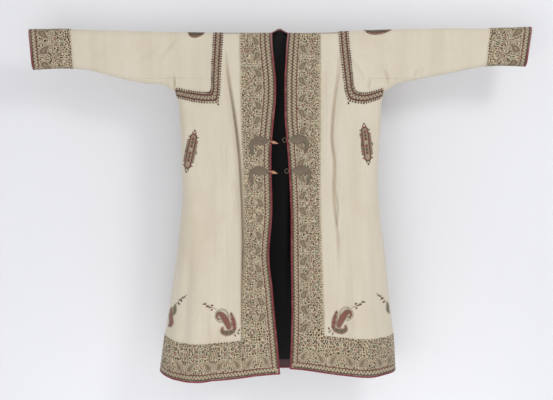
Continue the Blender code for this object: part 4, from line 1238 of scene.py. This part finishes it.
bead_rows = {}
BUD_COLOURS = ("brown", "rose", "brown", "red", "brown", "olive")
for side in SIDE_OF:
    place = on_front(side)
    bead_row("bud", BUD_COLOURS, place, np.arange(6, front_long[side], BUD_PITCH), FIELD_WIDE - 4.5)
    lines = [
        (place, 4, 1140, -9.5), (place, 4, SECOND_GUARD_END[side] / MM, -24.5),
        (on_hem(side, "front"), 2, hem_long[side] - 4, -9.5),
        (on_hem(side, "back"), 2, seam_at[side] - 4, -9.5),
    ]
    for place, start, end, middle in lines:
        along = np.arange(start, end, GUARD_PITCH / 2)
        zigzagged = middle + 2.6 * np.where(np.arange(len(along)) % 2, 1, -1)
        bead_row("dot", ("green", "rose", "brown"), place, along, zigzagged)
    for face, start, end in (("front", 104.0, hem_long[side]), ("back", 0.0, seam_at[side])):
        bead_row("bud", BUD_COLOURS, on_hem(side, face), np.arange(start, end - 5, BUD_PITCH), 96.5)
    for along in (np.arange(-CUFF_HALF, 0, BUD_PITCH), np.arange(4.0, CUFF_HALF, BUD_PITCH)):
        bead_row("bud", ("red", "rose", "brown"), on_cuff(side), along, 112.0)
        bead_row("bud", ("cream",), on_cuff(side), along + BUD_PITCH / 2, 119.0)
    for face in FACE_OF:
        for aside in (-14.0, 14.0):
            along = np.arange(4, band_edges(side)[1][-1] / MM - 3, TOOTH_PITCH)
            bead_row("tooth", ("brown", "red", "brown"), on_band(side, face), along, aside)

# Ornaments on the plain wool. A tall capsule below each armhole, a paisley with sprigs above the hem borders,
# smaller ones beside the side seams, and a leaf folded over each shoulder. They are worked straight on the wool.


def on_wool(face, x, drop, turn=0.0, flip=1):
    """Places in millimetres about a point on the wool, turned by an angle in degrees."""
    cosine, sine = np.cos(np.radians(turn)), np.sin(np.radians(turn))

    def place(over, down):
        across = flip * (over * cosine - down * sine)
        lower = over * sine + down * cosine
        far = drop + lower * MM
        over_fold = far < for_side(SHOULDER, x, np.abs(x))
        behind = over_fold if face == "front" else np.full(len(over), True)
        fold = for_side(SHOULDER, x + across * MM, np.abs(x + across * MM))
        return x + across * MM, np.where(over_fold, 2 * fold - far, far), behind

    return place


def capsule(length, wide):
    """A capsule of rose and grey flowers in a toothed dark outline, with finials and a bud on each side."""
    half, made = length / 2, []
    down = half * np.sin(np.linspace(-np.pi / 2, np.pi / 2, 41))
    spine = np.stack([0 * down, down], axis=-1)
    ahead = np.tile([0.0, 1.0], (41, 1))
    for k, (colour, inset) in enumerate((("cream", -1.2), ("brown", 0.0), ("red", 1.6), ("fawn", 4.4))):
        reach = wide / 2 - inset
        bent = np.maximum(np.abs(down) * (half - inset) / half - (half - inset - reach), 0) / reach
        across = reach * np.sqrt(np.clip(1 - bent**2, 0, 1)) + 0.1
        made += filled(colour, spine * (half - inset) / half, ahead, across, 0.12 * k, 0)
    for at in np.linspace(-1, 1, 17):
        for hand in (-1, 1):
            low = (half - wide / 2) * at
            turn = 90 * max(abs(low) - half + wide / 2 + 9, 0) / 9 * np.sign(at)
            heading = turn * 0.8 if hand > 0 else 180 - turn * 0.8
            from_axis = np.array([np.cos(np.radians(heading)), np.sin(np.radians(heading))])
            at_rim = from_axis * (wide / 2 - 2) + (0, low)
            colour = ("olive", "rose", "taupe")[round(8 * at) % 3]
            made += petal(colour, at_rim, heading, 10, 5.4, blunt=0.9, level=0.05, dome=0.3)
    for k, at in enumerate(np.linspace(-0.78, 0.62, 8)):
        colour = ("rose", "olive", "rose", "cream")[k % 4]
        made += petal(colour, (0, at * half), 90, 12, 10, blunt=0.8, level=0.6, dome=0.2)
        made += petal("brown", (0, at * half + 3), 90, 6, 4.4, blunt=0.9, level=0.95, dome=0.2)
    for end in (-1, 1):
        made += petal("brown", (0, end * (half + 6)), 90 * end, 8, 6.5, blunt=0.8, level=0.2, dome=0.4)
        made += petal("olive", (end * (wide / 2 + 6), -3), 40 * end, 7, 5, blunt=0.9, level=0.2, dome=0.4)
        made += petal("brown", (end * (wide / 2 + 6), 4), 20 * end, 6, 4, blunt=0.9, level=0.2, dome=0.4)
    return made


def sprig(stops, leaves):
    made = ridge("olive", stops, 1.5)
    for colour, at, heading, length, wide in leaves:
        made += petal(colour, at, heading, length, wide, curl=18, blunt=0.7, level=0.2, dome=0.4)
    return made


def large_paisley():
    """A paisley on a lobed foot, with a leaf beside it, a sprig over its head and another at its foot."""
    body = (
        (-4, -12, 10), (0, -27, 17), (7, -42, 20), (16, -55, 18), (27, -65, 13), (36, -64, 9), (39, -55, 7),
        (35, -48, 5), (28, -47, 2.5),
    )
    ring = (
        (-8, -34), (-6, -52), (2, -70), (13, -80), (26, -82),
        (38, -75), (44, -60), (40, -44), (29, -36), (18, -38),
    )
    ring = [(18 + 0.9 * (x - 18), -58 + 0.9 * (y + 58)) for x, y in ring]
    foot = (18, -21, 5), (19, -6, 13), (7, 0, 17), (-9, -3, 16), (-21, -6, 11)
    side = (-22, -8, 11), (-20, -26, 14), (-17, -44, 13), (-12, -60, 8), (-9, -69, 3)
    made = blade((("olive", 1.3), ("cream", 0.0)), [(x, y, 3.2) for x, y in ring], 44)
    made += blade((("red", 1.8), ("cream", 0.4), ("rose", -1.0), ("olive", -3.5)), foot, 24)
    made += blade((("red", 1.5), ("cream", 0.2), ("rose", -1.2)), side, 24)
    made += blade((("olive", 3.0), ("cream", 1.7), ("brown", 0.3), ("rose", -0.8)), body, 40)
    for x, y, wide in body[1:6]:
        for shift in (-0.2, 0.2):
            made += petal("taupe", (x + shift * wide, y + 3), -70, 9, 2.2, blunt=0.8, level=0.9, dome=0.2)
    for k, (x, y, wide) in enumerate(side[:4]):
        made += petal("brown", (x, y), -85, 6, 4, level=0.7, dome=0.2, spans=5)
        made += petal("brown", (x + wide / 2, y), -85, 5, 2.6, level=0.3, dome=0.4, spans=5)
    for x, y, wide in foot[1:]:
        made += petal("brown", (x - 3, y), 0, 5, 4, level=0.7, dome=0.2, spans=5)
        made += petal("red", (x, y + wide / 2 - 1), 70, 4, 3, level=0.3, dome=0.4, spans=5)
    made += sprig(((40, -80), (54, -86), (70, -94), (85, -101)), (
        ("red", (52, -80), 20, 8, 6), ("red", (50, -91), -30, 10, 6), ("brown", (58, -86), -10, 9, 4),
        ("red", (64, -92), 10, 11, 6), ("red", (74, -97), -60, 8, 5), ("brown", (78, -98), -10, 9, 3.5),
    ))
    return made + sprig(((-25, -4), (-31, -1), (-38, -8)), (
        ("red", (-34, -5), -130, 10, 5), ("brown", (-31, 2), 160, 8, 4.5), ("red", (-22, 5), 110, 9, 5),
    ))


def small_paisley(whole):
    """A slim paisley with a leaf and a sprig by the left seam. By the right seam only leaf and sprig show."""
    made = []
    if whole:
        body = (4, 0, 10), (-3, -14, 17), (-1, -34, 17), (-3, -52, 14), (-5, -66, 4)
        made += blade((("brown", 1.2), ("cream", 0.0), ("rose", -1.4)), body, 28)
        for x, y, wide in body[:4]:
            made += petal("taupe", (x, y + 2), -88, 11, 4.5, blunt=0.8, level=0.7, dome=0.2)
            made += petal("red", (x + wide / 2 - 1, y), -90, 6, 2.6, level=0.4, dome=0.3, spans=5)
    beside = (-8, -38, 3), (-15, -52, 12), (-16, -66, 11), (-18, -78, 3)
    made += blade((("brown", 1.0), ("cream", 0.0), ("olive", -1.2)), beside, 20)
    return made + sprig(((-20, -78), (-30, -88), (-42, -100), (-60, -112)), (
        ("red", (-27, -82), 150, 10, 6), ("red", (-31, -94), 170, 12, 6), ("brown", (-38, -93), 120, 9, 4),
        ("red", (-40, -102), 160, 10, 5), ("brown", (-48, -106), 140, 9, 3.5),
    ))


def shoulder_leaf(length, deep):
    """A leaf that lies over the shoulder fold, so that each face shows half of it."""
    layers = (("red", 2.6), ("cream", -0.6), ("red", -1.6), ("olive", -5.0))
    made = nested(layers, (-length / 2, 0), 0, length, 2 * deep, blunt=0.75, spans=22)
    for k in range(7):
        made += petal("brown", (-length * 0.4 + k * length * 0.11, 5), 70, 8, 4, level=0.75, dome=0.2)
        made += petal("red", (-length * 0.35 + k * length * 0.11, 3), 80, 5, 3, level=0.75, dome=0.2)
    return made


for side, x, drop, turn, length in (
    ("left", -0.3055, 0.4130, 12.0, 124), ("right", 0.2975, 0.3880, -6.0, 120),
):
    for face in FACE_OF:
        worked(f"capsule_{face}_{side}", capsule(length, 25), on_wool(face, x, drop, turn), 0)
for side, x, drop, flip in (("left", -0.1740, 1.0300, -1), ("right", 0.2030, 1.0230, 1)):
    worked(f"paisley_{side}", large_paisley(), on_wool("front", x, drop, 0, flip), 0)
    worked(f"paisley_back_{side}", large_paisley(), on_wool("back", x, drop - 0.004, 0, flip), 0)
for side, x, drop, flip in (("left", -0.3725, 1.0130, -1), ("right", 0.3860, 1.0080, 1)):
    shapes = small_paisley(side == "left")
    worked(f"side_paisley_{side}", shapes, on_wool("front", x, drop, 0, flip), 0)
for side, start, long in (("left", 0.1420, 53), ("right", 0.1470, 58)):
    fold = float(for_side(SHOULDER, SIDE_OF[side] * start, start))
    line = on_wool("front", SIDE_OF[side] * start, fold, 0, SIDE_OF[side])
    worked(f"shoulder_line_{side}", ridge("taupe", ((0, 2), (long, 2)), 2.4, count=12), line, 0)
# A dark finial stands on the outer corner of each band.
for side, x, drop in (("left", -0.2110, 0.2440), ("right", 0.2375, 0.2400)):
    finial = ridge("olive", ((0, 0), (0, 6)), 1.6)
    finial += petal("brown", (0, 4), 90, 8, 6.5, blunt=0.8, level=0.2, dome=0.4)
    for face in FACE_OF:
        worked(f"finial_{face}_{side}", finial, on_wool(face, x, drop, 0, -SIDE_OF[side]), 0)
for side, x, long, deep in (("left", -0.2880, 60, 19), ("right", 0.3400, 92, 17)):
    fold = float(for_side(SHOULDER, x, abs(x)))
    worked(f"shoulder_leaf_{side}", shoulder_leaf(long, deep), on_wool("front", x, fold), 0)

for (kind, colour), parts in bead_rows.items():
    beads(f"{kind}s_{colour}", kind, colour, *(np.concatenate([part[k] for part in parts]) for k in range(3)))

# Piping. Crimson silk folded over a thin cord and sewn into every edge: down the fronts and along the front
# hems in one length, along the back hem, round the cuffs and round the back neck.

PIPING_WIDE = 0.0062
PIPING_THICK = 0.0040
# The last two rows of a grid, which give its edge and the way out past it.
HEM_LINES = (-1, slice(None)), (-2, slice(None))
# The neck binding covers this many of the back's columns on each side of its middle.
NECK_COLUMNS = 9


def cord(name, finish, centres, across, upward, closed=False, sides=12):
    """A cord of oval section. across and upward are its half sizes as vectors, one pair for each centre."""
    angle = np.arange(sides) * 2 * np.pi / sides
    cosine, sine = np.cos(angle)[:, None], np.sin(angle)[:, None]
    rings = centres[:, None] + across[:, None] * cosine + upward[:, None] * sine
    count = len(centres)
    i, k = np.meshgrid(np.arange(count if closed else count - 1), np.arange(sides), indexing="ij")
    a, b = i * sides, (i + 1) % count * sides
    over = (k + 1) % sides
    quads = np.stack([a + k, a + over, b + over, b + k], axis=-1).reshape(-1, 4)
    faces = quads.tolist()
    if not closed:
        faces += [list(range(sides))[::-1], list(range((count - 1) * sides, count * sides))]
    if np.dot(np.cross(across[0], upward[0]), centres[1] - centres[0]) < 0:
        faces = [face[::-1] for face in faces]
    return add_mesh(name, rings.reshape(-1, 3), faces, [finish])


def edge_of(grid, line, inner_line):
    """An edge of a grid as points, directions away from the cloth, and normals."""
    up = normals(grid)[line]
    out = unit(grid[line] - grid[inner_line])
    return grid[line], unit(out - up * (out * up).sum(-1, keepdims=True)), up


def piping(name, edges, thick):
    """Piping along one or two edges that meet at a corner."""
    path, out, up = (np.concatenate([edge[k] for edge in edges]) for k in range(3))
    if len(edges) == 2:
        corner = len(edges[0][0]) - 1
        out[corner] = out[corner] + out[corner + 1]
        path, out, up = (np.delete(rows, corner + 1, axis=0) for rows in (path, out, up))
    centres = path + out * (PIPING_WIDE / 2 + SEAM) - up * thick / 2
    piece = cord(name, crimson, centres, out * PIPING_WIDE / 2, up * PIPING_THICK / 2)
    dress(piece, "piping", name)


# Piping silk, a dyed crimson rep: soft shine, rubbed paler and pinker where it is handled.
crimson, tree, shader, where = material("piping_silk_crimson", Roughness=0.6, Sheen_Weight=0.05)
worn = ranged(tree, noise(tree, where, 30.0, 5.0), 0.5, 0.72)
height = add(tree, "ShaderNodeSeparateXYZ", {0: where}).outputs[2]
near_neck = ranged(tree, height, -0.10, -0.03)
tone = mixed(tree, near_neck, mixed(tree, worn, "#752529", "#8E4C48"), "#8E5F5C")
finish(tree, shader, tone, noise(tree, where, 700.0, 1.0), 0.3, 0.0003)

for side in SIDE_OF:
    grid = fronts[side]["grid"]
    front_edge = edge_of(grid, (slice(None), 0), (slice(None), 1))
    hem_edge = edge_of(grid, *HEM_LINES)
    piping(f"piping_front_{side}", [front_edge, hem_edge], CLOTH - SEAM - BORDER)
    cuff_edge = edge_of(sleeves[side], *HEM_LINES)
    piping(f"piping_cuff_{side}", [cuff_edge], CLOTH - SEAM - BORDER)
piping("piping_hem_back", [edge_of(back_grid, *HEM_LINES)], CLOTH)
middle = back_grid.shape[1] // 2
neck = slice(middle - NECK_COLUMNS, middle + NECK_COLUMNS + 1)
piping("binding_neck", [edge_of(back_grid, (0, neck), (1, neck))], CLOTH)

# Clasps. Leaf-shaped pads of tarnished metal-thread braid with a hooked tail, sewn on both borders at the
# chest in two rows. The left ones carry a silk cord knot and the right ones a corded loop.

CLASP = table(
    "from_edge below half height",
    (0.004, 0.000, 0.0030, 0.0014),
    (0.014, 0.000, 0.0095, 0.0030),
    (0.031, 0.000, 0.0150, 0.0042),
    (0.046, -0.001, 0.0130, 0.0040),
    (0.058, 0.002, 0.0085, 0.0032),
    (0.064, 0.013, 0.0062, 0.0028),
    (0.063, 0.029, 0.0056, 0.0026),
    (0.058, 0.046, 0.0035, 0.0018),
)
CLASP_ROWS = {"upper": (0.378, 0.372), "lower": (0.481, 0.479)}
TOGGLE = (
    (0.0000, 0.0012), (0.0100, 0.0014), (0.0130, 0.0048),
    (0.0172, 0.0062), (0.0215, 0.0046), (0.0250, 0.0022),
    (0.0310, 0.0008),
)
LOOP_WIDE, LOOP_TALL, LOOP_CORD = 0.0064, 0.0078, 0.0012
BRAID_PITCH = 0.0030
CLASP_LIFT = LIFT + 2 * SEAM

# Braid of metal thread over a cotton core, tarnished to a dull grey-brown, in plaited rows with a weak glint.
# Each row's colour runs from dark to light with its relief: painted shade in the grooves, painted highlight on
# the ridges.
braid, tree, shader, where = material("metal_thread_braid", Roughness=0.5, Metallic=0.25)
turned = stretched(tree, add(tree, "ShaderNodeUVMap", uv_map="weave").outputs[0], (1.0, 1.7, 1.0))
plait_and_painted_shading = add(
    tree, "ShaderNodeTexWave",
    {"Vector": turned, "Scale": 0.314 / BRAID_PITCH, "Distortion": 1.2, "Detail": 1.0},
    bands_direction="DIAGONAL",
).outputs["Fac"]
tarnish = ranged(tree, noise(tree, where, 60.0, 4.0), 0.45, 0.75, end=0.7)
# The braid's dark and light colours follow its rows as painted shade and painted highlight; the tarnish is the
# braid's own.
tone = mixed(tree, tarnish, mixed(tree, plait_and_painted_shading, "#5E5344", "#897B67"), "#6A5645")
finish(tree, shader, tone, plait_and_painted_shading, 0.8, 0.0008)

# Gimp, the same metal thread wound round a fine cord, for the pads' edges and the loops. Its colour runs from
# dark to light with each turn's relief: painted shade between the turns and painted highlight on them.
gimp, tree, shader, where = material("metal_thread_gimp", Roughness=0.45, Metallic=0.3)
wound = add(tree, "ShaderNodeTexWave", {"Vector": where, "Scale": 260.0}, bands_direction="DIAGONAL")
wound = wound.outputs["Fac"]
# Dark and light tones along the turns: painted shade and painted highlight.
finish(tree, shader, mixed(tree, wound, "#5C5142", "#837663"), wound, 0.5, 0.0003)

# Silk cord of the knots, once rose and now faded to a salmon pink. The darkness down between its turns is
# painted
# shade: the knot's dark core, under the wound cord, shows between them.
silk_cord, tree, shader, where = material("silk_cord_faded_rose", Roughness=0.5, Sheen_Weight=0.15)
faded = noise(tree, where, 260.0, 3.0)
tone = mixed(tree, ranged(tree, faded, 0.35, 0.65), "#D6AC8A", "#BC845F")
finish(tree, shader, tone, faded, 0.4, 0.0003)
# The knot's core is coloured dark red-brown only as painted shade, for where it shows between the cord's turns.
knot_core_painted_shade, tree, shader, where = material("silk_cord_painted_shade", Roughness=0.55, Sheen_Weight=0.1)
tone = mixed(tree, noise(tree, where, 400.0, 2.0), "#7A3A30", "#A06450")
tree.links.new(tone, shader.inputs["Base Color"])


def clasp(side, row):
    """A braid pad with its tail and the gimp round its edge."""
    sign = SIDE_OF[side]
    drop = CLASP_ROWS[row][side == "right"]
    stops = list(zip(*CLASP.values()))
    path, along = smooth_path(stops, 90)
    run = unit(np.gradient(path[:, :2], axis=0))
    shares = np.sin(np.linspace(-np.pi / 2, np.pi / 2, 17))
    out = read(FRONT_EDGE, side, drop) + path[:, :1] + run[:, 1:] * shares * path[:, 2:3]
    low = drop + path[:, 1:2] - run[:, :1] * shares * path[:, 2:3]
    grid = points("front", sign * out, low)
    rise = 0.0006 + path[:, 3:] * np.sqrt(1 - 0.96 * shares**2)
    flat = np.stack(np.broadcast_arrays(along[:, None], shares * path[:, 2:3]), axis=-1)
    pad = shell(f"clasp_{row}_{side}", grid, CLASP_LIFT + rise, rise, braid, braid, flat=flat)
    dress(pad, "braid", f"clasp_{row}_{side}")
    rim = [(k, 0) for k in range(90)] + [(89, k) for k in range(1, 17)] + [(k, 16) for k in range(88, -1, -1)]
    rim = tuple(np.array(rim + [(0, k) for k in range(15, 0, -1)]).T)
    n = outward("front", sign * out, low)[rim]
    centres = grid[rim] + n * (CLASP_LIFT + 0.0009)
    way = unit(np.roll(centres, -2, axis=0) - np.roll(centres, 2, axis=0))
    aside = unit(np.cross(way, n))
    edge = cord(f"clasp_edge_{row}_{side}", gimp, centres, aside * 0.0009, n * 0.0009, closed=True, sides=8)
    dress(edge, "braid")


def helix(centres, second, third, radius, turns, phase=0.0):
    """A path wound round another one, at a radius that may change."""
    angle = phase + np.linspace(0, turns * 2 * np.pi, len(centres))[:, None]
    return centres + (second * np.cos(angle) + third * np.sin(angle)) * radius


def wound_cord(name, finish, path, radius, closed=False):
    way = np.gradient(path, axis=0)
    if closed:
        way = np.roll(path, -1, axis=0) - np.roll(path, 1, axis=0)
    aside = unit(np.cross(way, np.array([0.31, 0.52, 0.79])))
    upward = unit(np.cross(way, aside))
    return cord(name, finish, path, aside * radius, upward * radius, closed=closed, sides=8)


for row in CLASP_ROWS:
    for side in SIDE_OF:
        clasp(side, row)
    forward = np.array([0.0, -1.0, 0.0])
    drop = CLASP_ROWS[row][0]
    aim = unit(np.array([1.0, 0.06, -0.28]))
    start = points("front", -read(FRONT_EDGE, "left", drop) - 0.0035, drop) + forward * 0.0048
    path, along = smooth_path(TOGGLE, 60)
    second = unit(np.cross(aim, forward))
    third = np.cross(aim, second)
    centres, radius = start + path[:, :1] * aim, path[:, 1:]
    # The core takes the dark painted-shade silk.
    knot = cord(f"toggle_{row}", knot_core_painted_shade, centres, second * radius, third * radius * 0.85, sides=16)
    dress(knot, "toggle", f"toggle_{row}")
    for k in range(2):
        fine, wide = np.repeat(centres, 4, axis=0), np.repeat(radius, 4, axis=0)
        turns = helix(fine, second, third, wide * 0.95, 9, np.pi * k)
        ease = np.ones(9) / 9
        turns = np.stack([np.convolve(np.pad(c, 4, mode="edge"), ease, "valid") for c in turns.T], axis=-1)
        dress(wound_cord(f"toggle_cord_{row}_{k}", silk_cord, turns, 0.0009), "toggle")
    drop = CLASP_ROWS[row][1]
    tip = points("front", read(FRONT_EDGE, "right", drop), drop)
    reach = 0.0052 + 2 * SEAM + LOOP_WIDE + LOOP_CORD
    centre = tip + np.array([-reach, CLOTH / 2, -0.002])
    angle = np.linspace(0, 2 * np.pi, 160, endpoint=False)[:, None]
    spokes = np.cos(angle) * np.array([LOOP_WIDE, 0, 0]) + np.sin(angle) * np.array([0, 0, LOOP_TALL])
    for k in range(2):
        twist = 12 * angle + np.pi * k
        strand = centre + spokes + (unit(spokes) * np.cos(twist) + forward * np.sin(twist)) * 0.0005
        ring = wound_cord(f"loop_{row}_{k}", gimp, strand, 0.0007, closed=True)
        dress(ring, "braid", *((f"loop_{row}",) if k == 0 else ()))

# Studio: a pale wall close behind the robe and a floor below the picture, with the camera straight in front.
# A soft lamp stands at the upper right, a larger one low in front, and a long low one on the floor.

WALL_Y, WALL_CURVE, WALL_TOP = 0.21, 0.5, 3.0
FLOOR_Z, FLOOR_FRONT = -2.30, -6.0

wall, tree, shader, where = material("painted_wall", Roughness=0.95)
tree.links.new(mixed(tree, noise(tree, where, 1.5, 3.0), "#E8E8EA", "#ECECEE"), shader.inputs["Base Color"])
bend = np.linspace(0, np.pi / 2, 12)
curve = WALL_Y - WALL_CURVE + WALL_CURVE * np.sin(bend), FLOOR_Z + WALL_CURVE * (1 - np.cos(bend))
profile = [(FLOOR_FRONT, FLOOR_Z), *zip(*curve), (WALL_Y, WALL_TOP)]
corners = [(x, y, z) for y, z in profile for x in (-5.0, 5.0)]
sheets = [(2 * k, 2 * k + 1, 2 * k + 3, 2 * k + 2) for k in range(len(profile) - 1)]
backdrop = add_mesh("backdrop", corners, sheets, [wall])

scene = bpy.context.scene
world = bpy.data.worlds.new("studio")
scene.world = world
world.use_nodes = True
world.node_tree.nodes["Background"].inputs["Color"].default_value = linear("#F2F3F6")
world.node_tree.nodes["Background"].inputs["Strength"].default_value = 0.80
for name, place, target, size, power in (
    ("key", (2.1, -3.1, 1.5), (0.0, 0.0, -0.6), (1.0, 1.0), 34),
    ("fill", (-0.7, -3.8, -2.2), (0.0, 0.0, -0.6), (3.0, 3.0), 67),
    ("wash", (0.0, -0.40, -2.15), (0.0, WALL_Y, -1.40), (1.4, 0.7), 5.5),
):
    lamp = bpy.data.lights.new(name, "AREA")
    lamp.shape, lamp.energy, lamp.size, lamp.size_y = "RECTANGLE", power, *size
    holder = bpy.data.objects.new(name, lamp)
    holder.location = place
    aim = np.array(target) - place
    tilt, heading = np.arctan2(np.hypot(aim[0], aim[1]), -aim[2]), np.arctan2(aim[0], -aim[1]) + np.pi
    holder.rotation_euler = (tilt, 0, heading)
    scene.collection.objects.link(holder)
lens = bpy.data.cameras.new("camera")
lens.lens, lens.sensor_width = 74.9, 36
camera = bpy.data.objects.new("camera", lens)
camera.location = (-0.0104, -4.0, -0.5805)
camera.rotation_euler = (np.pi / 2, 0, 0)
scene.collection.objects.link(camera)
scene.camera = camera
scene.view_settings.view_transform = "Standard"
